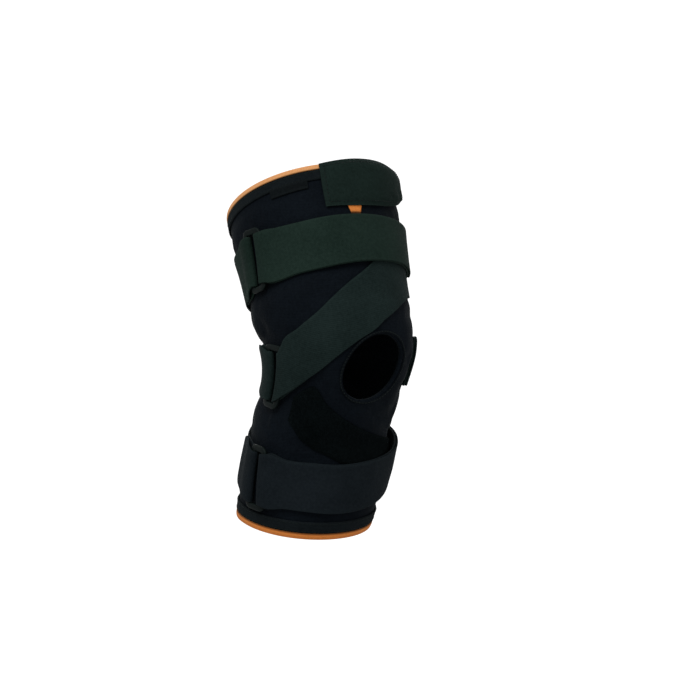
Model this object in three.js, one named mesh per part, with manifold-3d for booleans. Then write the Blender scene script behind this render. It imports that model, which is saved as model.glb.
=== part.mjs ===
import * as THREE from 'three';
import { mergeVertices } from 'three/addons/utils/BufferGeometryUtils.js';
import Module from 'manifold-3d';

// Knee ligament brace in its worn form. Millimetres, +Z up, origin at the centre of the knee.
// The front of the knee faces -Y and the outer side of the leg faces -X.

// Hollow that the leg fills: lengths are measured along the leg from the knee centre
const thighLength = 157;
const shinLength = 150;
const thighWidth = 154;
const thighDepth = 160;
const kneeWidth = 134;
const kneeDepth = 135;
const calfWidth = 125;
const calfDepth = 128;

// Bend of the leg, in degrees, and the length of leg over which it bends
const thighLean = 21;
const shinLean = 23;
const shinSide = 4.2;
const bendLength = 80;
const sideBlend = 60;

// Sleeve wall and the slant of its two ends
const sleeveWall = 4;
const topSlant = 2.5;
const bottomSlant = 11.5;
const bottomSideSlant = 3;
const creaseDepth = 3.2;

// Edge trim, binding tapes and the kneecap hole
const trimThickness = 0.8;
const topTrimHeight = 5;
const bottomTrimHeight = 6;
const trimInside = 8;
const tapeThickness = 1;
const topTapeHeight = 9;
const bottomTapeHeight = 10;
const kneecapWidth = 61;
const kneecapHeight = 60;
const kneecapTurn = 3;
const kneecapUp = -2;
const kneecapSkew = 0.12;
const kneecapRimWidth = 2.2;
const kneecapRimThickness = 1.1;
const kneecapRimInset = 0.5;

// Webbing straps and the plastic loops that they pass through
const strapWidth = 47;
const strapThickness = 1.6;
const strapGather = 0.95;
const ringBar = 5.4;
const ringThickness = 3;
const ringSlot = 10.5;
const ringSlotClearance = 1;
const ringCorner = 3.1;
const ringChamfer = 1.2;
const settleLength = 16;
const returnLength = 33;
const calfStandOff = 4;
const medialStandOff = 2.5;

// Pull flap, plush band, label and tag
const flapThickness = 4.6;
const flapHeight = 45;
const flapStandOff = 1.5;
const plushThickness = 2;
const plushWidth = 46;
const plushGap = 0.7;
const labelHeight = 8;
const labelThickness = 0.6;
const tagHeight = 12;
const tagThickness = 0.9;

// Air left between two layers, and the angle between the columns of every layer
const layerGap = 0.55;
const columnStep = 9;

const degree = Math.PI / 180;

// Sections of the leg hollow from the shin up: place along the leg, half width, depth to front and back
const legSections = [
  { up: -1.10 * shinLength, half: 0.460 * calfWidth, front: 0.518 * calfDepth, back: 0.437 * calfDepth },
  { up: -0.80 * shinLength, half: 0.498 * calfWidth, front: 0.483 * calfDepth, back: 0.527 * calfDepth },
  { up: -0.60 * shinLength, half: 0.497 * calfWidth, front: 0.422 * calfDepth, back: 0.575 * calfDepth },
  { up: -0.37 * shinLength, half: 0.478 * calfWidth, front: 0.370 * calfDepth, back: 0.590 * calfDepth },
  { up: -0.25 * bendLength, half: 0.451 * kneeWidth, front: 0.395 * kneeDepth, back: 0.522 * kneeDepth },
  { up: 0.125 * bendLength, half: 0.490 * kneeWidth, front: 0.507 * kneeDepth, back: 0.494 * kneeDepth },
  { up: 0.25 * thighLength, half: 0.453 * thighWidth, front: 0.444 * thighDepth, back: 0.434 * thighDepth },
  { up: 0.44 * thighLength, half: 0.457 * thighWidth, front: 0.446 * thighDepth, back: 0.463 * thighDepth },
  { up: 0.63 * thighLength, half: 0.469 * thighWidth, front: 0.461 * thighDepth, back: 0.476 * thighDepth },
  { up: 0.82 * thighLength, half: 0.493 * thighWidth, front: 0.466 * thighDepth, back: 0.503 * thighDepth },
  { up: 1.04 * thighLength, half: 0.501 * thighWidth, front: 0.474 * thighDepth, back: 0.525 * thighDepth },
];

// How far the centre line wanders towards the inner side, the lean of the shin apart
const centreShifts = [
  { up: -0.60 * shinLength, x: 0 },
  { up: -0.37 * shinLength, x: -0.017 * calfWidth },
  { up: -0.25 * bendLength, x: -0.012 * kneeWidth },
  { up: 0.125 * bendLength, x: 0.004 * kneeWidth },
  { up: 0.16 * thighLength, x: 0.002 * thighWidth },
  { up: 0.26 * thighLength, x: -0.010 * thighWidth },
  { up: 0.44 * thighLength, x: -0.006 * thighWidth },
  { up: 0.82 * thighLength, x: -0.004 * thighWidth },
  { up: 1.04 * thighLength, x: 0 },
];

// Creases behind the knee: where each is deepest, its share of the full depth, and its spread each way
const creases = [
  { turn: 180, up: 0.02 * thighLength, share: 1, wide: 75, high: 0.06 * thighLength, rise: 0.05 },
  { turn: 215, up: 0.22 * thighLength, share: 0.8, wide: 45, high: 0.05 * thighLength, rise: -0.1 },
  { turn: 150, up: -0.20 * shinLength, share: 0.7, wide: 50, high: 0.06 * shinLength, rise: 0.1 },
  { turn: 240, up: -0.16 * shinLength, share: 0.35, wide: 40, high: 0.05 * shinLength, rise: 0.1 },
];

// A smooth curve through one column of a table, read at a place along its key column
function readTable(rows, key, column, at) {
  const last = rows.length - 1;
  const x = Math.min(Math.max(at, rows[0][key]), rows[last][key]);
  const stepOf = (i) => rows[i + 1][key] - rows[i][key];
  const slopeOf = (i) => (rows[i + 1][column] - rows[i][column]) / stepOf(i);
  const tangentOf = (i) => {
    if (i === 0) return slopeOf(0);
    if (i === last) return slopeOf(last - 1);
    return (slopeOf(i - 1) * stepOf(i) + slopeOf(i) * stepOf(i - 1)) / (stepOf(i - 1) + stepOf(i));
  };
  let i = 0;
  while (i < last - 1 && x > rows[i + 1][key]) i += 1;
  const step = stepOf(i);
  const t = (x - rows[i][key]) / step;
  const start = (1 + 2 * t) * (1 - t) ** 2 * rows[i][column] + t * (1 - t) ** 2 * step * tangentOf(i);
  const end = t * t * (3 - 2 * t) * rows[i + 1][column] + t * t * (t - 1) * step * tangentOf(i + 1);
  return start + end;
}

function smoothStep(from, to, x) {
  const t = Math.min(Math.max((x - from) / (to - from), 0), 1);
  return t * t * (3 - 2 * t);
}

// Centre line of the leg: straight thigh and shin joined by an arc, the shin also leaning sideways
function legCentre(up) {
  const half = bendLength / 2;
  const curve = (thighLean + shinLean) * degree / bendLength;
  const start = (thighLean - shinLean) * degree / 2;
  const bent = Math.min(Math.max(up, -half), half);
  const lean = start + curve * bent;
  const down = Math.max(-up, 0);
  const sideways = down < sideBlend ? down ** 2 / (2 * sideBlend) : down - sideBlend / 2;
  return {
    lean,
    x: readTable(centreShifts, 'up', 'x', up) - Math.tan(shinSide * degree) * sideways,
    y: (Math.cos(start) - Math.cos(lean)) / curve + Math.sin(lean) * (up - bent),
    z: (Math.sin(lean) - Math.sin(start)) / curve + Math.cos(lean) * (up - bent),
  };
}

// A point by its turn round the leg (0 front, 90 inner side), its place up the leg, and its
// distance out from the outer face of the sleeve
function legPoint(turn, up, out) {
  const centre = legCentre(up);
  const angle = turn * degree;
  const side = Math.cos(angle) > 0 ? 'front' : 'back';
  const half = readTable(legSections, 'up', 'half', up) + out;
  const depth = (readTable(legSections, 'up', side, up) + out) * Math.cos(angle);
  return new THREE.Vector3(
    centre.x + half * Math.sin(angle),
    centre.y - depth * Math.cos(centre.lean),
    centre.z + depth * Math.sin(centre.lean),
  );
}

// Millimetres covered on the sleeve by one degree of turn
function perDegreeAt(turn, up) {
  return legPoint(turn + 1, up, 0).distanceTo(legPoint(turn, up, 0));
}

// Place up the leg that lies a distance up the sleeve from another: the bend stretches the front
// of the sleeve and crowds the back
function upSleeve(turn, up, distance) {
  const half = bendLength / 2;
  const curve = (thighLean + shinLean) * degree / bendLength;
  const side = Math.cos(turn * degree) > 0 ? 'front' : 'back';
  const stretch = 1 + readTable(legSections, 'up', side, up) * Math.cos(turn * degree) * curve;
  const extra = (stretch - 1) * half;
  const bent = Math.min(Math.max(up, -half), half);
  const reached = up + (stretch - 1) * bent + distance;
  if (Math.abs(reached) <= half + extra) return reached / stretch;
  return reached - Math.sign(reached) * extra;
}

function topEdge(turn) {
  return thighLength + topSlant * Math.cos(turn * degree);
}

function bottomEdge(turn) {
  return -shinLength + bottomSlant * Math.cos(turn * degree) + bottomSideSlant * Math.sin(turn * degree);
}

// How far the creases pull the sleeve in at a point
function creaseAt(turn, up) {
  let depth = 0;
  for (const crease of creases) {
    const across = ((turn - crease.turn + 540) % 360) - 180;
    const along = up - crease.up - crease.rise * across;
    const fall = (across / crease.wide) ** 2 + (along / crease.high) ** 2;
    depth += crease.share * creaseDepth * Math.exp(-fall);
  }
  return depth;
}

// A closed mesh from points and triangles, with every face turned outwards
function closedGeometry(points, triangles) {
  let volume = 0;
  for (const [a, b, c] of triangles) {
    volume += points[a].dot(new THREE.Vector3().crossVectors(points[b], points[c]));
  }
  const facing = volume > 0 ? triangles : triangles.map(([a, b, c]) => [a, c, b]);
  const geometry = new THREE.BufferGeometry();
  geometry.setAttribute('position', new THREE.Float32BufferAttribute(points.flatMap((p) => p.toArray()), 3));
  geometry.setIndex(facing.flat());
  return geometry;
}

// A body that closes on itself both ways: a ring of stations, each a closed loop of corners
function ringBody(stations, corners, pointAt) {
  const points = [];
  const triangles = [];
  for (let i = 0; i < stations; i += 1) {
    for (let k = 0; k < corners; k += 1) {
      points.push(pointAt(i, k));
      const a = i * corners + k;
      const b = i * corners + (k + 1) % corners;
      const c = ((i + 1) % stations) * corners + k;
      const d = ((i + 1) % stations) * corners + (k + 1) % corners;
      triangles.push([a, b, d], [a, d, c]);
    }
  }
  return closedGeometry(points, triangles);
}

// A flat outline carried through several rows and closed by a cap at each end
function outlineBody(outline, rows, pointAt) {
  const points = [];
  const triangles = [];
  const count = outline.length;
  for (let j = 0; j <= rows; j += 1) {
    for (let k = 0; k < count; k += 1) {
      points.push(pointAt(outline[k], j / rows));
      const a = j * count + k;
      const b = j * count + (k + 1) % count;
      if (j < rows) triangles.push([a, b, b + count], [a, b + count, a + count]);
    }
  }
  const top = rows * count;
  const turnsLeft = THREE.ShapeUtils.area(outline) > 0;
  for (const [a, b, c] of THREE.ShapeUtils.triangulateShape(outline, [])) {
    const [first, second, third] = turnsLeft ? [a, b, c] : [a, c, b];
    const flipped = turnsLeft ? [a, c, b] : [a, b, c];
    triangles.push(flipped, [top + first, top + second, top + third]);
  }
  return closedGeometry(points, triangles);
}

// A folded ribbon: a line with a thickness, carried across several rows and closed at its edges
function ribbonBody(route, thickness, rows, pointAt) {
  const { left, right } = ribbonSides(route, thickness);
  const outline = left.concat(right.reverse());
  const count = outline.length;
  const points = [];
  const triangles = [];
  const addQuad = (a, b, c, d) => triangles.push([a, b, c], [a, c, d]);
  for (let j = 0; j <= rows; j += 1) {
    for (const corner of outline) points.push(pointAt(corner, j / rows));
    for (let k = 0; k < count && j < rows; k += 1) {
      const a = j * count + k;
      const b = j * count + (k + 1) % count;
      addQuad(a, b, b + count, a + count);
    }
  }
  const top = rows * count;
  for (let k = 0; k < left.length - 1; k += 1) {
    const facing = count - 1 - k;
    addQuad(k, facing, facing - 1, k + 1);
    addQuad(top + k, top + k + 1, top + facing - 1, top + facing);
  }
  return closedGeometry(points, triangles);
}

// Both sides of a line given a thickness
function ribbonSides(route, thickness) {
  const left = [];
  const right = [];
  route.forEach((p, i) => {
    const before = p.clone().sub(route[Math.max(i - 1, 0)]).normalize();
    const after = route[Math.min(i + 1, route.length - 1)].clone().sub(p).normalize();
    const along = before.clone().add(after).normalize();
    const miter = Math.max(along.dot(i === 0 ? after : before), 0.5);
    const offset = new THREE.Vector2(-along.y, along.x).multiplyScalar(thickness / 2 / miter);
    left.push(p.clone().add(offset));
    right.push(p.clone().sub(offset));
  });
  return { left, right };
}

// A pad with an inner and an outer face over the same columns and rows
function padBody(columns, rows, pointAt) {
  const points = [];
  const triangles = [];
  const across = rows + 1;
  const faceSize = (columns + 1) * across;
  for (const face of [0, 1]) {
    for (let i = 0; i <= columns; i += 1) {
      for (let j = 0; j <= rows; j += 1) points.push(pointAt(i / columns, j / rows, face));
    }
  }
  const addQuad = (a, b, c, d) => triangles.push([a, b, c], [a, c, d]);
  for (let i = 0; i < columns; i += 1) {
    for (let j = 0; j < rows; j += 1) {
      const a = i * across + j;
      const b = a + across;
      addQuad(a, a + 1, b + 1, b);
      addQuad(faceSize + a, faceSize + b, faceSize + b + 1, faceSize + a + 1);
    }
    const low = i * across;
    const high = low + rows;
    addQuad(low, low + across, faceSize + low + across, faceSize + low);
    addQuad(high + across, high, faceSize + high, faceSize + high + across);
  }
  for (let j = 0; j < rows; j += 1) {
    const last = columns * across + j;
    addQuad(j + 1, j, faceSize + j, faceSize + j + 1);
    addQuad(last, last + 1, faceSize + last + 1, faceSize + last);
  }
  return closedGeometry(points, triangles);
}

const brace = new THREE.Group();

function addPiece(name, geometry, material) {
  const mesh = new THREE.Mesh(geometry, material);
  mesh.name = name;
  brace.add(mesh);
}

const neoprene = new THREE.MeshStandardMaterial({ color: 0x15161c, roughness: 0.82, metalness: 0 });
const webbing = new THREE.MeshStandardMaterial({ color: 0x1b2422, roughness: 0.74, metalness: 0 });
const bindingTape = new THREE.MeshStandardMaterial({ color: 0x17191b, roughness: 0.7, metalness: 0 });
const orangeTrim = new THREE.MeshStandardMaterial({ color: 0xe07a1c, roughness: 0.65, metalness: 0 });
const plush = new THREE.MeshStandardMaterial({ color: 0x0f110f, roughness: 0.95, metalness: 0 });
const plastic = new THREE.MeshStandardMaterial({ color: 0x181c1d, roughness: 0.42, metalness: 0 });
const wovenLabel = new THREE.MeshStandardMaterial({ color: 0x22262a, roughness: 0.6, metalness: 0 });

const columnCount = 360 / columnStep;

// Sleeve
const sleeveRows = 18;
const rowCrowding = 1.25;

function sleeveUp(turn, row) {
  const place = (2 * row) / sleeveRows - 1;
  const reach = Math.abs(place) ** rowCrowding;
  return place < 0 ? reach * bottomEdge(turn) : reach * topEdge(turn);
}

function sleeveBody() {
  const corners = 2 * (sleeveRows + 1);
  return ringBody(columnCount, corners, (i, k) => {
    const turn = i * columnStep;
    const outside = k <= sleeveRows;
    const up = sleeveUp(turn, outside ? k : corners - 1 - k);
    return legPoint(turn, up, (outside ? 0 : -sleeveWall) - creaseAt(turn, up));
  });
}

// Outline of the kneecap hole, grown by a margin: turn and up for an angle round the hole
function kneecapOutline(angle, margin) {
  const across = (kneecapWidth / 2 + margin) * Math.cos(angle);
  const along = (kneecapHeight / 2 + margin) * Math.sin(angle);
  return {
    turn: kneecapTurn + across / perDegreeAt(kneecapTurn, kneecapUp),
    up: upSleeve(kneecapTurn, kneecapUp, along + kneecapSkew * across),
  };
}

function asManifold(wasm, geometry) {
  const merged = mergeVertices(geometry);
  const mesh = new wasm.Mesh({
    numProp: 3,
    vertProperties: new Float32Array(merged.attributes.position.array),
    triVerts: new Uint32Array(merged.index.array),
  });
  return new wasm.Manifold(mesh);
}

function asGeometry(solid) {
  const mesh = solid.getMesh();
  const geometry = new THREE.BufferGeometry();
  geometry.setAttribute('position', new THREE.Float32BufferAttribute(mesh.vertProperties, 3));
  geometry.setIndex(Array.from(mesh.triVerts));
  return geometry;
}

const kneecapStations = 32;
const plugReach = 16;
const wasm = await Module();
wasm.setup();

function kneecapPlug() {
  const outline = [];
  for (let i = 0; i < kneecapStations; i += 1) {
    const { turn, up } = kneecapOutline((2 * Math.PI * i) / kneecapStations, 0);
    outline.push(new THREE.Vector2(turn, up));
  }
  const innermost = -sleeveWall - plugReach;
  const levelAt = (share) => innermost + share * (plugReach - innermost);
  return outlineBody(outline, 1, (p, share) => legPoint(p.x, p.y, levelAt(share)));
}

const cutSleeve = asManifold(wasm, sleeveBody()).subtract(asManifold(wasm, kneecapPlug()));
addPiece('sleeve', asGeometry(cutSleeve), neoprene);

function kneecapRim() {
  const section = [[0, 0], [1, 0], [1, 0.6], [0.5, 1], [0, 0.6]];
  return ringBody(kneecapStations, section.length, (i, k) => {
    const [share, height] = section[k];
    const angle = (2 * Math.PI * i) / kneecapStations;
    const { turn, up } = kneecapOutline(angle, kneecapRimInset + share * kneecapRimWidth);
    return legPoint(turn, up, layerGap + height * kneecapRimThickness);
  });
}

addPiece('kneecap_rim', kneecapRim(), bindingTape);

// Trim folded over a sleeve end, and the tape sewn below it; dir is +1 at the top and -1 at the bottom
function edgeRing(edge, dir, section) {
  return ringBody(columnCount, section.length, (i, k) => {
    const turn = i * columnStep;
    const [along, out] = section[k];
    return legPoint(turn, edge(turn) + dir * along, out);
  });
}

function trimSection(height) {
  const inside = -sleeveWall - layerGap;
  return [
    [layerGap + trimThickness - height, layerGap],
    [layerGap + trimThickness - height, layerGap + trimThickness],
    [layerGap + trimThickness, layerGap + trimThickness],
    [layerGap + trimThickness, inside - trimThickness],
    [-trimInside, inside - trimThickness],
    [-trimInside, inside],
    [layerGap, inside],
    [layerGap, layerGap],
  ];
}

function tapeSection(trimHeight, tapeHeight) {
  const near = trimThickness - trimHeight;
  return [
    [near, layerGap],
    [near, layerGap + tapeThickness],
    [near - tapeHeight, layerGap + tapeThickness],
    [near - tapeHeight, layerGap],
  ];
}

const topTape = tapeSection(topTrimHeight, topTapeHeight);
const bottomTape = tapeSection(bottomTrimHeight, bottomTapeHeight);

addPiece('top_trim', edgeRing(topEdge, 1, trimSection(topTrimHeight)), orangeTrim);
addPiece('top_tape', edgeRing(topEdge, 1, topTape), bindingTape);
addPiece('bottom_trim', edgeRing(bottomEdge, -1, trimSection(bottomTrimHeight)), orangeTrim);
addPiece('bottom_tape', edgeRing(bottomEdge, -1, bottomTape), bindingTape);

// Width of the webbing where a loop gathers it
const gatheredWidth = strapGather * strapWidth;

// Levels of the layers at a loop: under run, the bar, and the run folded back over it
const underLevel = layerGap + strapThickness / 2;
const barLevel = layerGap + strapThickness + layerGap + ringThickness / 2;
const foldRadius = barLevel - underLevel;
const restLevel = underLevel + strapThickness + layerGap;
const foldCentre = ringSlot / 2 + foldRadius - strapThickness / 2 - layerGap;
const barEnd = ringSlot / 2 + ringBar;
const foldSteps = 6;
const strapRows = 3;
const kneeRows = 4;

// Height of the folded-back run over the sleeve, at a distance from the loop's centre
function overLevel(along, underEnd) {
  const overBar = barLevel + foldRadius;
  const settled = overBar + (restLevel - overBar) * smoothStep(barEnd, barEnd + settleLength, along);
  return settled + (underLevel - restLevel) * smoothStep(underEnd, underEnd + settleLength, along);
}

// Places along a run: close together by the loop, then at the columns of the sleeve
function runStops(ring, side, from, to, perDegree) {
  const stops = [];
  const close = from + 2 * settleLength;
  for (let along = from; along < Math.min(close, to); along += settleLength / 2) stops.push(along);
  const phase = (((side * ring.turn) % columnStep) + columnStep) % columnStep;
  for (let column = 1; column <= columnCount; column += 1) {
    const along = (column * columnStep - phase) * perDegree;
    if (along > close && along < to - settleLength / 8) stops.push(along);
  }
  return [...stops, to];
}

// Middle line of webbing that runs under a bar, folds round it and comes back over it
function foldedRoute(ring, side, underTurn, overTurn, perDegree) {
  const reach = (turn) => side * (turn - ring.turn) * perDegree;
  const underEnd = reach(underTurn);
  const overEnd = reach(overTurn);
  const route = runStops(ring, side, foldCentre + settleLength / 4, underEnd, perDegree)
    .reverse()
    .map((along) => new THREE.Vector2(along, underLevel));
  for (let i = 0; i <= foldSteps; i += 1) {
    const angle = -Math.PI / 2 - (Math.PI * i) / foldSteps;
    route.push(new THREE.Vector2(foldCentre, barLevel)
      .add(new THREE.Vector2(Math.cos(angle), Math.sin(angle)).multiplyScalar(foldRadius)));
  }
  for (const along of runStops(ring, side, barEnd, overEnd, perDegree)) {
    route.push(new THREE.Vector2(along, overLevel(along, underEnd)));
  }
  return route;
}

// Webbing laid along its course; its rows lean with the loop near it and straighten further off
function webbingBody({ ring, side, course, lift, under, over, rows = strapRows }) {
  const perDegree = perDegreeAt(ring.turn, ring.up);
  const route = foldedRoute(ring, side, under, over, perDegree);
  return ribbonBody(route, strapThickness, rows, (p, share) => {
    const fade = 1 - smoothStep(barEnd, barEnd + 3 * settleLength, p.x);
    const turn = ring.turn + (side * p.x) / perDegree;
    const middle = readTable(course, 'turn', 'middle', turn);
    const wide = readTable(course, 'turn', 'wide', turn);
    const leaning = turn + ring.lean * (share - 0.5) * fade;
    return legPoint(leaning, upSleeve(turn, middle, (share - 0.5) * wide), p.y + lift(turn, share));
  });
}

// Flat plastic loop: a rounded rectangle of bar, shaped to the leg under it
function loopBody(ring, lift) {
  const perDegree = perDegreeAt(ring.turn, ring.up);
  const halfAcross = ringSlot / 2 + ringBar / 2;
  const halfAlong = gatheredWidth / 2 + ringSlotClearance + ringBar / 2;
  const tilt = Math.atan(ring.lean * perDegree / gatheredWidth);
  const stations = [];
  const sideStops = 4;
  const cornerSteps = 2;
  for (let quarter = 0; quarter < 4; quarter += 1) {
    const signAcross = quarter === 0 || quarter === 3 ? 1 : -1;
    const signAlong = quarter < 2 ? 1 : -1;
    for (let i = 0; i <= cornerSteps; i += 1) {
      const angle = (quarter + i / cornerSteps) * 90 * degree;
      const out = new THREE.Vector2(Math.cos(angle), Math.sin(angle));
      const corner = new THREE.Vector2(halfAcross - ringCorner, halfAlong - ringCorner);
      corner.multiply(new THREE.Vector2(signAcross, signAlong));
      stations.push({ at: corner.addScaledVector(out, ringCorner), out });
    }
    if (quarter % 2 === 1) {
      const start = stations[stations.length - 1];
      for (let i = 1; i < sideStops; i += 1) {
        const along = start.at.y * (1 - (2 * i) / sideStops);
        stations.push({ at: new THREE.Vector2(start.at.x, along), out: start.out });
      }
    }
  }
  const wide = ringBar / 2;
  const thick = ringThickness / 2;
  const section = [
    [wide, thick - ringChamfer], [wide - ringChamfer, thick], [ringChamfer - wide, thick],
    [-wide, thick - ringChamfer], [-wide, ringChamfer - thick], [ringChamfer - wide, -thick],
    [wide - ringChamfer, -thick], [wide, ringChamfer - thick],
  ];
  return ringBody(stations.length, section.length, (i, k) => {
    const [outward, level] = section[k];
    const flat = stations[i].at.clone().addScaledVector(stations[i].out, outward);
    flat.rotateAround(new THREE.Vector2(0, 0), -tilt);
    const turn = ring.turn + flat.x / perDegree;
    const standOff = lift(ring.turn, 0.5 + flat.y / strapWidth);
    return legPoint(turn, upSleeve(turn, ring.up, flat.y), barLevel + level + standOff);
  });
}

// Loops: where each sits, and how many degrees its long side leans over the gathered width
const thighRing = { turn: -81.5, up: 0.586 * thighLength, lean: 5.6 };
const kneeRing = { turn: -85, up: -0.072 * shinLength, lean: 4 };
const calfRing = { turn: -80.3, up: -0.689 * shinLength, lean: -9.5 };
const medialRing = { turn: 103, up: 0.018 * thighLength, lean: 0 };

// Courses of the webbing: turn round the leg, place of the middle up the leg, and width up the sleeve
const thighCourse = [
  { turn: -122, middle: 0.588 * thighLength, wide: 0.94 * strapWidth },
  { turn: -108, middle: 0.574 * thighLength, wide: 0.98 * strapWidth },
  { turn: -94, middle: 0.578 * thighLength, wide: 1.00 * strapWidth },
  { turn: -88.5, middle: 0.592 * thighLength, wide: gatheredWidth },
  { turn: -81.5, middle: 0.586 * thighLength, wide: gatheredWidth },
  { turn: -74.5, middle: 0.577 * thighLength, wide: gatheredWidth },
  { turn: -68, middle: 0.566 * thighLength, wide: 1.01 * strapWidth },
  { turn: -60, middle: 0.558 * thighLength, wide: 1.00 * strapWidth },
  { turn: -50, middle: 0.555 * thighLength, wide: 0.97 * strapWidth },
  { turn: -31, middle: 0.551 * thighLength, wide: 0.97 * strapWidth },
  { turn: 3, middle: 0.561 * thighLength, wide: 0.92 * strapWidth },
  { turn: 37, middle: 0.575 * thighLength, wide: 0.88 * strapWidth },
  { turn: 70, middle: 0.586 * thighLength, wide: 0.88 * strapWidth },
  { turn: 150, middle: 0.583 * thighLength, wide: 0.96 * strapWidth },
  { turn: 236, middle: 0.588 * thighLength, wide: 0.93 * strapWidth },
];
const crossCourse = [
  { turn: -122, middle: -0.067 * shinLength, wide: 0.92 * strapWidth },
  { turn: -98, middle: -0.058 * shinLength, wide: 1.00 * strapWidth },
  { turn: -92, middle: -0.070 * shinLength, wide: gatheredWidth },
  { turn: -85, middle: -0.072 * shinLength, wide: gatheredWidth },
  { turn: -78, middle: -0.069 * shinLength, wide: gatheredWidth },
  { turn: -72, middle: -0.027 * shinLength, wide: 1.09 * strapWidth },
  { turn: -60, middle: 0.024 * thighLength, wide: 1.11 * strapWidth },
  { turn: -45, middle: 0.080 * thighLength, wide: 1.09 * strapWidth },
  { turn: -30, middle: 0.138 * thighLength, wide: 1.07 * strapWidth },
  { turn: -15, middle: 0.187 * thighLength, wide: 1.11 * strapWidth },
  { turn: 0, middle: 0.231 * thighLength, wide: 1.17 * strapWidth },
  { turn: 16, middle: 0.300 * thighLength, wide: 1.15 * strapWidth },
  { turn: 32, middle: 0.370 * thighLength, wide: 1.07 * strapWidth },
  { turn: 45, middle: 0.412 * thighLength, wide: 1.01 * strapWidth },
  { turn: 60, middle: 0.449 * thighLength, wide: 0.97 * strapWidth },
  { turn: 90, middle: 0.538 * thighLength, wide: 0.94 * strapWidth },
  { turn: 126, middle: 0.580 * thighLength, wide: 0.88 * strapWidth },
];
const rearCourse = [
  { turn: 60, middle: 0.012 * thighLength, wide: 0.96 * strapWidth },
  { turn: 96, middle: 0.017 * thighLength, wide: gatheredWidth },
  { turn: 103, middle: 0.018 * thighLength, wide: gatheredWidth },
  { turn: 110, middle: 0.022 * thighLength, wide: gatheredWidth },
  { turn: 122, middle: 0.070 * thighLength, wide: 1.00 * strapWidth },
  { turn: 150, middle: 0.235 * thighLength, wide: 1.10 * strapWidth },
  { turn: 190, middle: 0.430 * thighLength, wide: 1.12 * strapWidth },
  { turn: 228, middle: 0.560 * thighLength, wide: 0.96 * strapWidth },
];
const calfCourse = [
  { turn: -122, middle: -0.700 * shinLength, wide: 0.88 * strapWidth },
  { turn: -93, middle: -0.695 * shinLength, wide: 0.98 * strapWidth },
  { turn: -87.3, middle: -0.700 * shinLength, wide: gatheredWidth },
  { turn: -80.3, middle: -0.689 * shinLength, wide: gatheredWidth },
  { turn: -73.3, middle: -0.679 * shinLength, wide: gatheredWidth },
  { turn: -68, middle: -0.669 * shinLength, wide: 1.00 * strapWidth },
  { turn: -52, middle: -0.652 * shinLength, wide: 0.90 * strapWidth },
  { turn: -32, middle: -0.633 * shinLength, wide: 0.90 * strapWidth },
  { turn: 10, middle: -0.608 * shinLength, wide: 0.89 * strapWidth },
  { turn: 45, middle: -0.584 * shinLength, wide: 0.82 * strapWidth },
  { turn: 72, middle: -0.545 * shinLength, wide: 0.82 * strapWidth },
  { turn: 108, middle: -0.556 * shinLength, wide: 0.90 * strapWidth },
  { turn: 160, middle: -0.660 * shinLength, wide: 0.94 * strapWidth },
  { turn: 236, middle: -0.700 * shinLength, wide: 0.87 * strapWidth },
];

// Where a strap stands off because it bridges another layer or a hollow of the leg, in degrees of turn
const overCross = { from: -45, risen: -14, falling: 236, to: 300 };
const overPlush = { from: -36, risen: -9, falling: 90, to: 130 };
const overCalfHollow = { from: 30, risen: 63, falling: 99, to: 150 };
const overKneeHollow = { from: 60, risen: 75, falling: 112, to: 150 };

function bridging(span, turn) {
  return smoothStep(span.from, span.risen, turn) * (1 - smoothStep(span.falling, span.to, turn));
}

function thighLift(turn) {
  return (strapThickness + layerGap) * bridging(overCross, turn);
}

function calfLift(turn, share) {
  const plushLift = (plushThickness + plushGap) * bridging(overPlush, turn);
  return plushLift + calfStandOff * bridging(overCalfHollow, turn) * share;
}

function medialLift(turn, share) {
  return medialStandOff * bridging(overKneeHollow, turn) * (1 - share);
}

const noLift = () => 0;

// Turn at which the short folded-under end of a strap stops
function returnEnd(ring) {
  return ring.turn + returnLength / perDegreeAt(ring.turn, ring.up);
}

const webbingPieces = [
  {
    name: 'thigh_strap', ring: thighRing, side: 1, course: thighCourse, lift: thighLift,
    under: 236, over: 72,
  },
  {
    name: 'thigh_tab', ring: thighRing, side: -1, course: thighCourse, lift: noLift,
    under: -120, over: -119,
  },
  {
    name: 'cross_strap', ring: kneeRing, side: 1, course: crossCourse, lift: noLift,
    under: returnEnd(kneeRing), over: 126, rows: kneeRows,
  },
  {
    name: 'knee_tab', ring: kneeRing, side: -1, course: crossCourse, lift: noLift,
    under: -116, over: -115, rows: kneeRows,
  },
  {
    name: 'rear_strap', ring: medialRing, side: 1, course: rearCourse, lift: medialLift,
    under: returnEnd(medialRing), over: 225, rows: kneeRows,
  },
  {
    name: 'medial_tab', ring: medialRing, side: -1, course: rearCourse, lift: medialLift,
    under: 62, over: 63, rows: kneeRows,
  },
  {
    name: 'calf_strap', ring: calfRing, side: 1, course: calfCourse, lift: calfLift,
    under: 236, over: 117,
  },
  {
    name: 'calf_tab', ring: calfRing, side: -1, course: calfCourse, lift: noLift,
    under: -119, over: -118,
  },
];
for (const piece of webbingPieces) addPiece(piece.name, webbingBody(piece), webbing);

addPiece('thigh_ring', loopBody(thighRing, noLift), plastic);
addPiece('knee_ring', loopBody(kneeRing, noLift), plastic);
addPiece('medial_ring', loopBody(medialRing, medialLift), plastic);
addPiece('calf_ring', loopBody(calfRing, noLift), plastic);

// Full section of a pad across its height: thin at both edges, full thickness in between
function crown(share, edge) {
  const inward = Math.min(share, 1 - share);
  return 0.35 + 0.65 * Math.sqrt(smoothStep(0, edge, inward));
}

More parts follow.
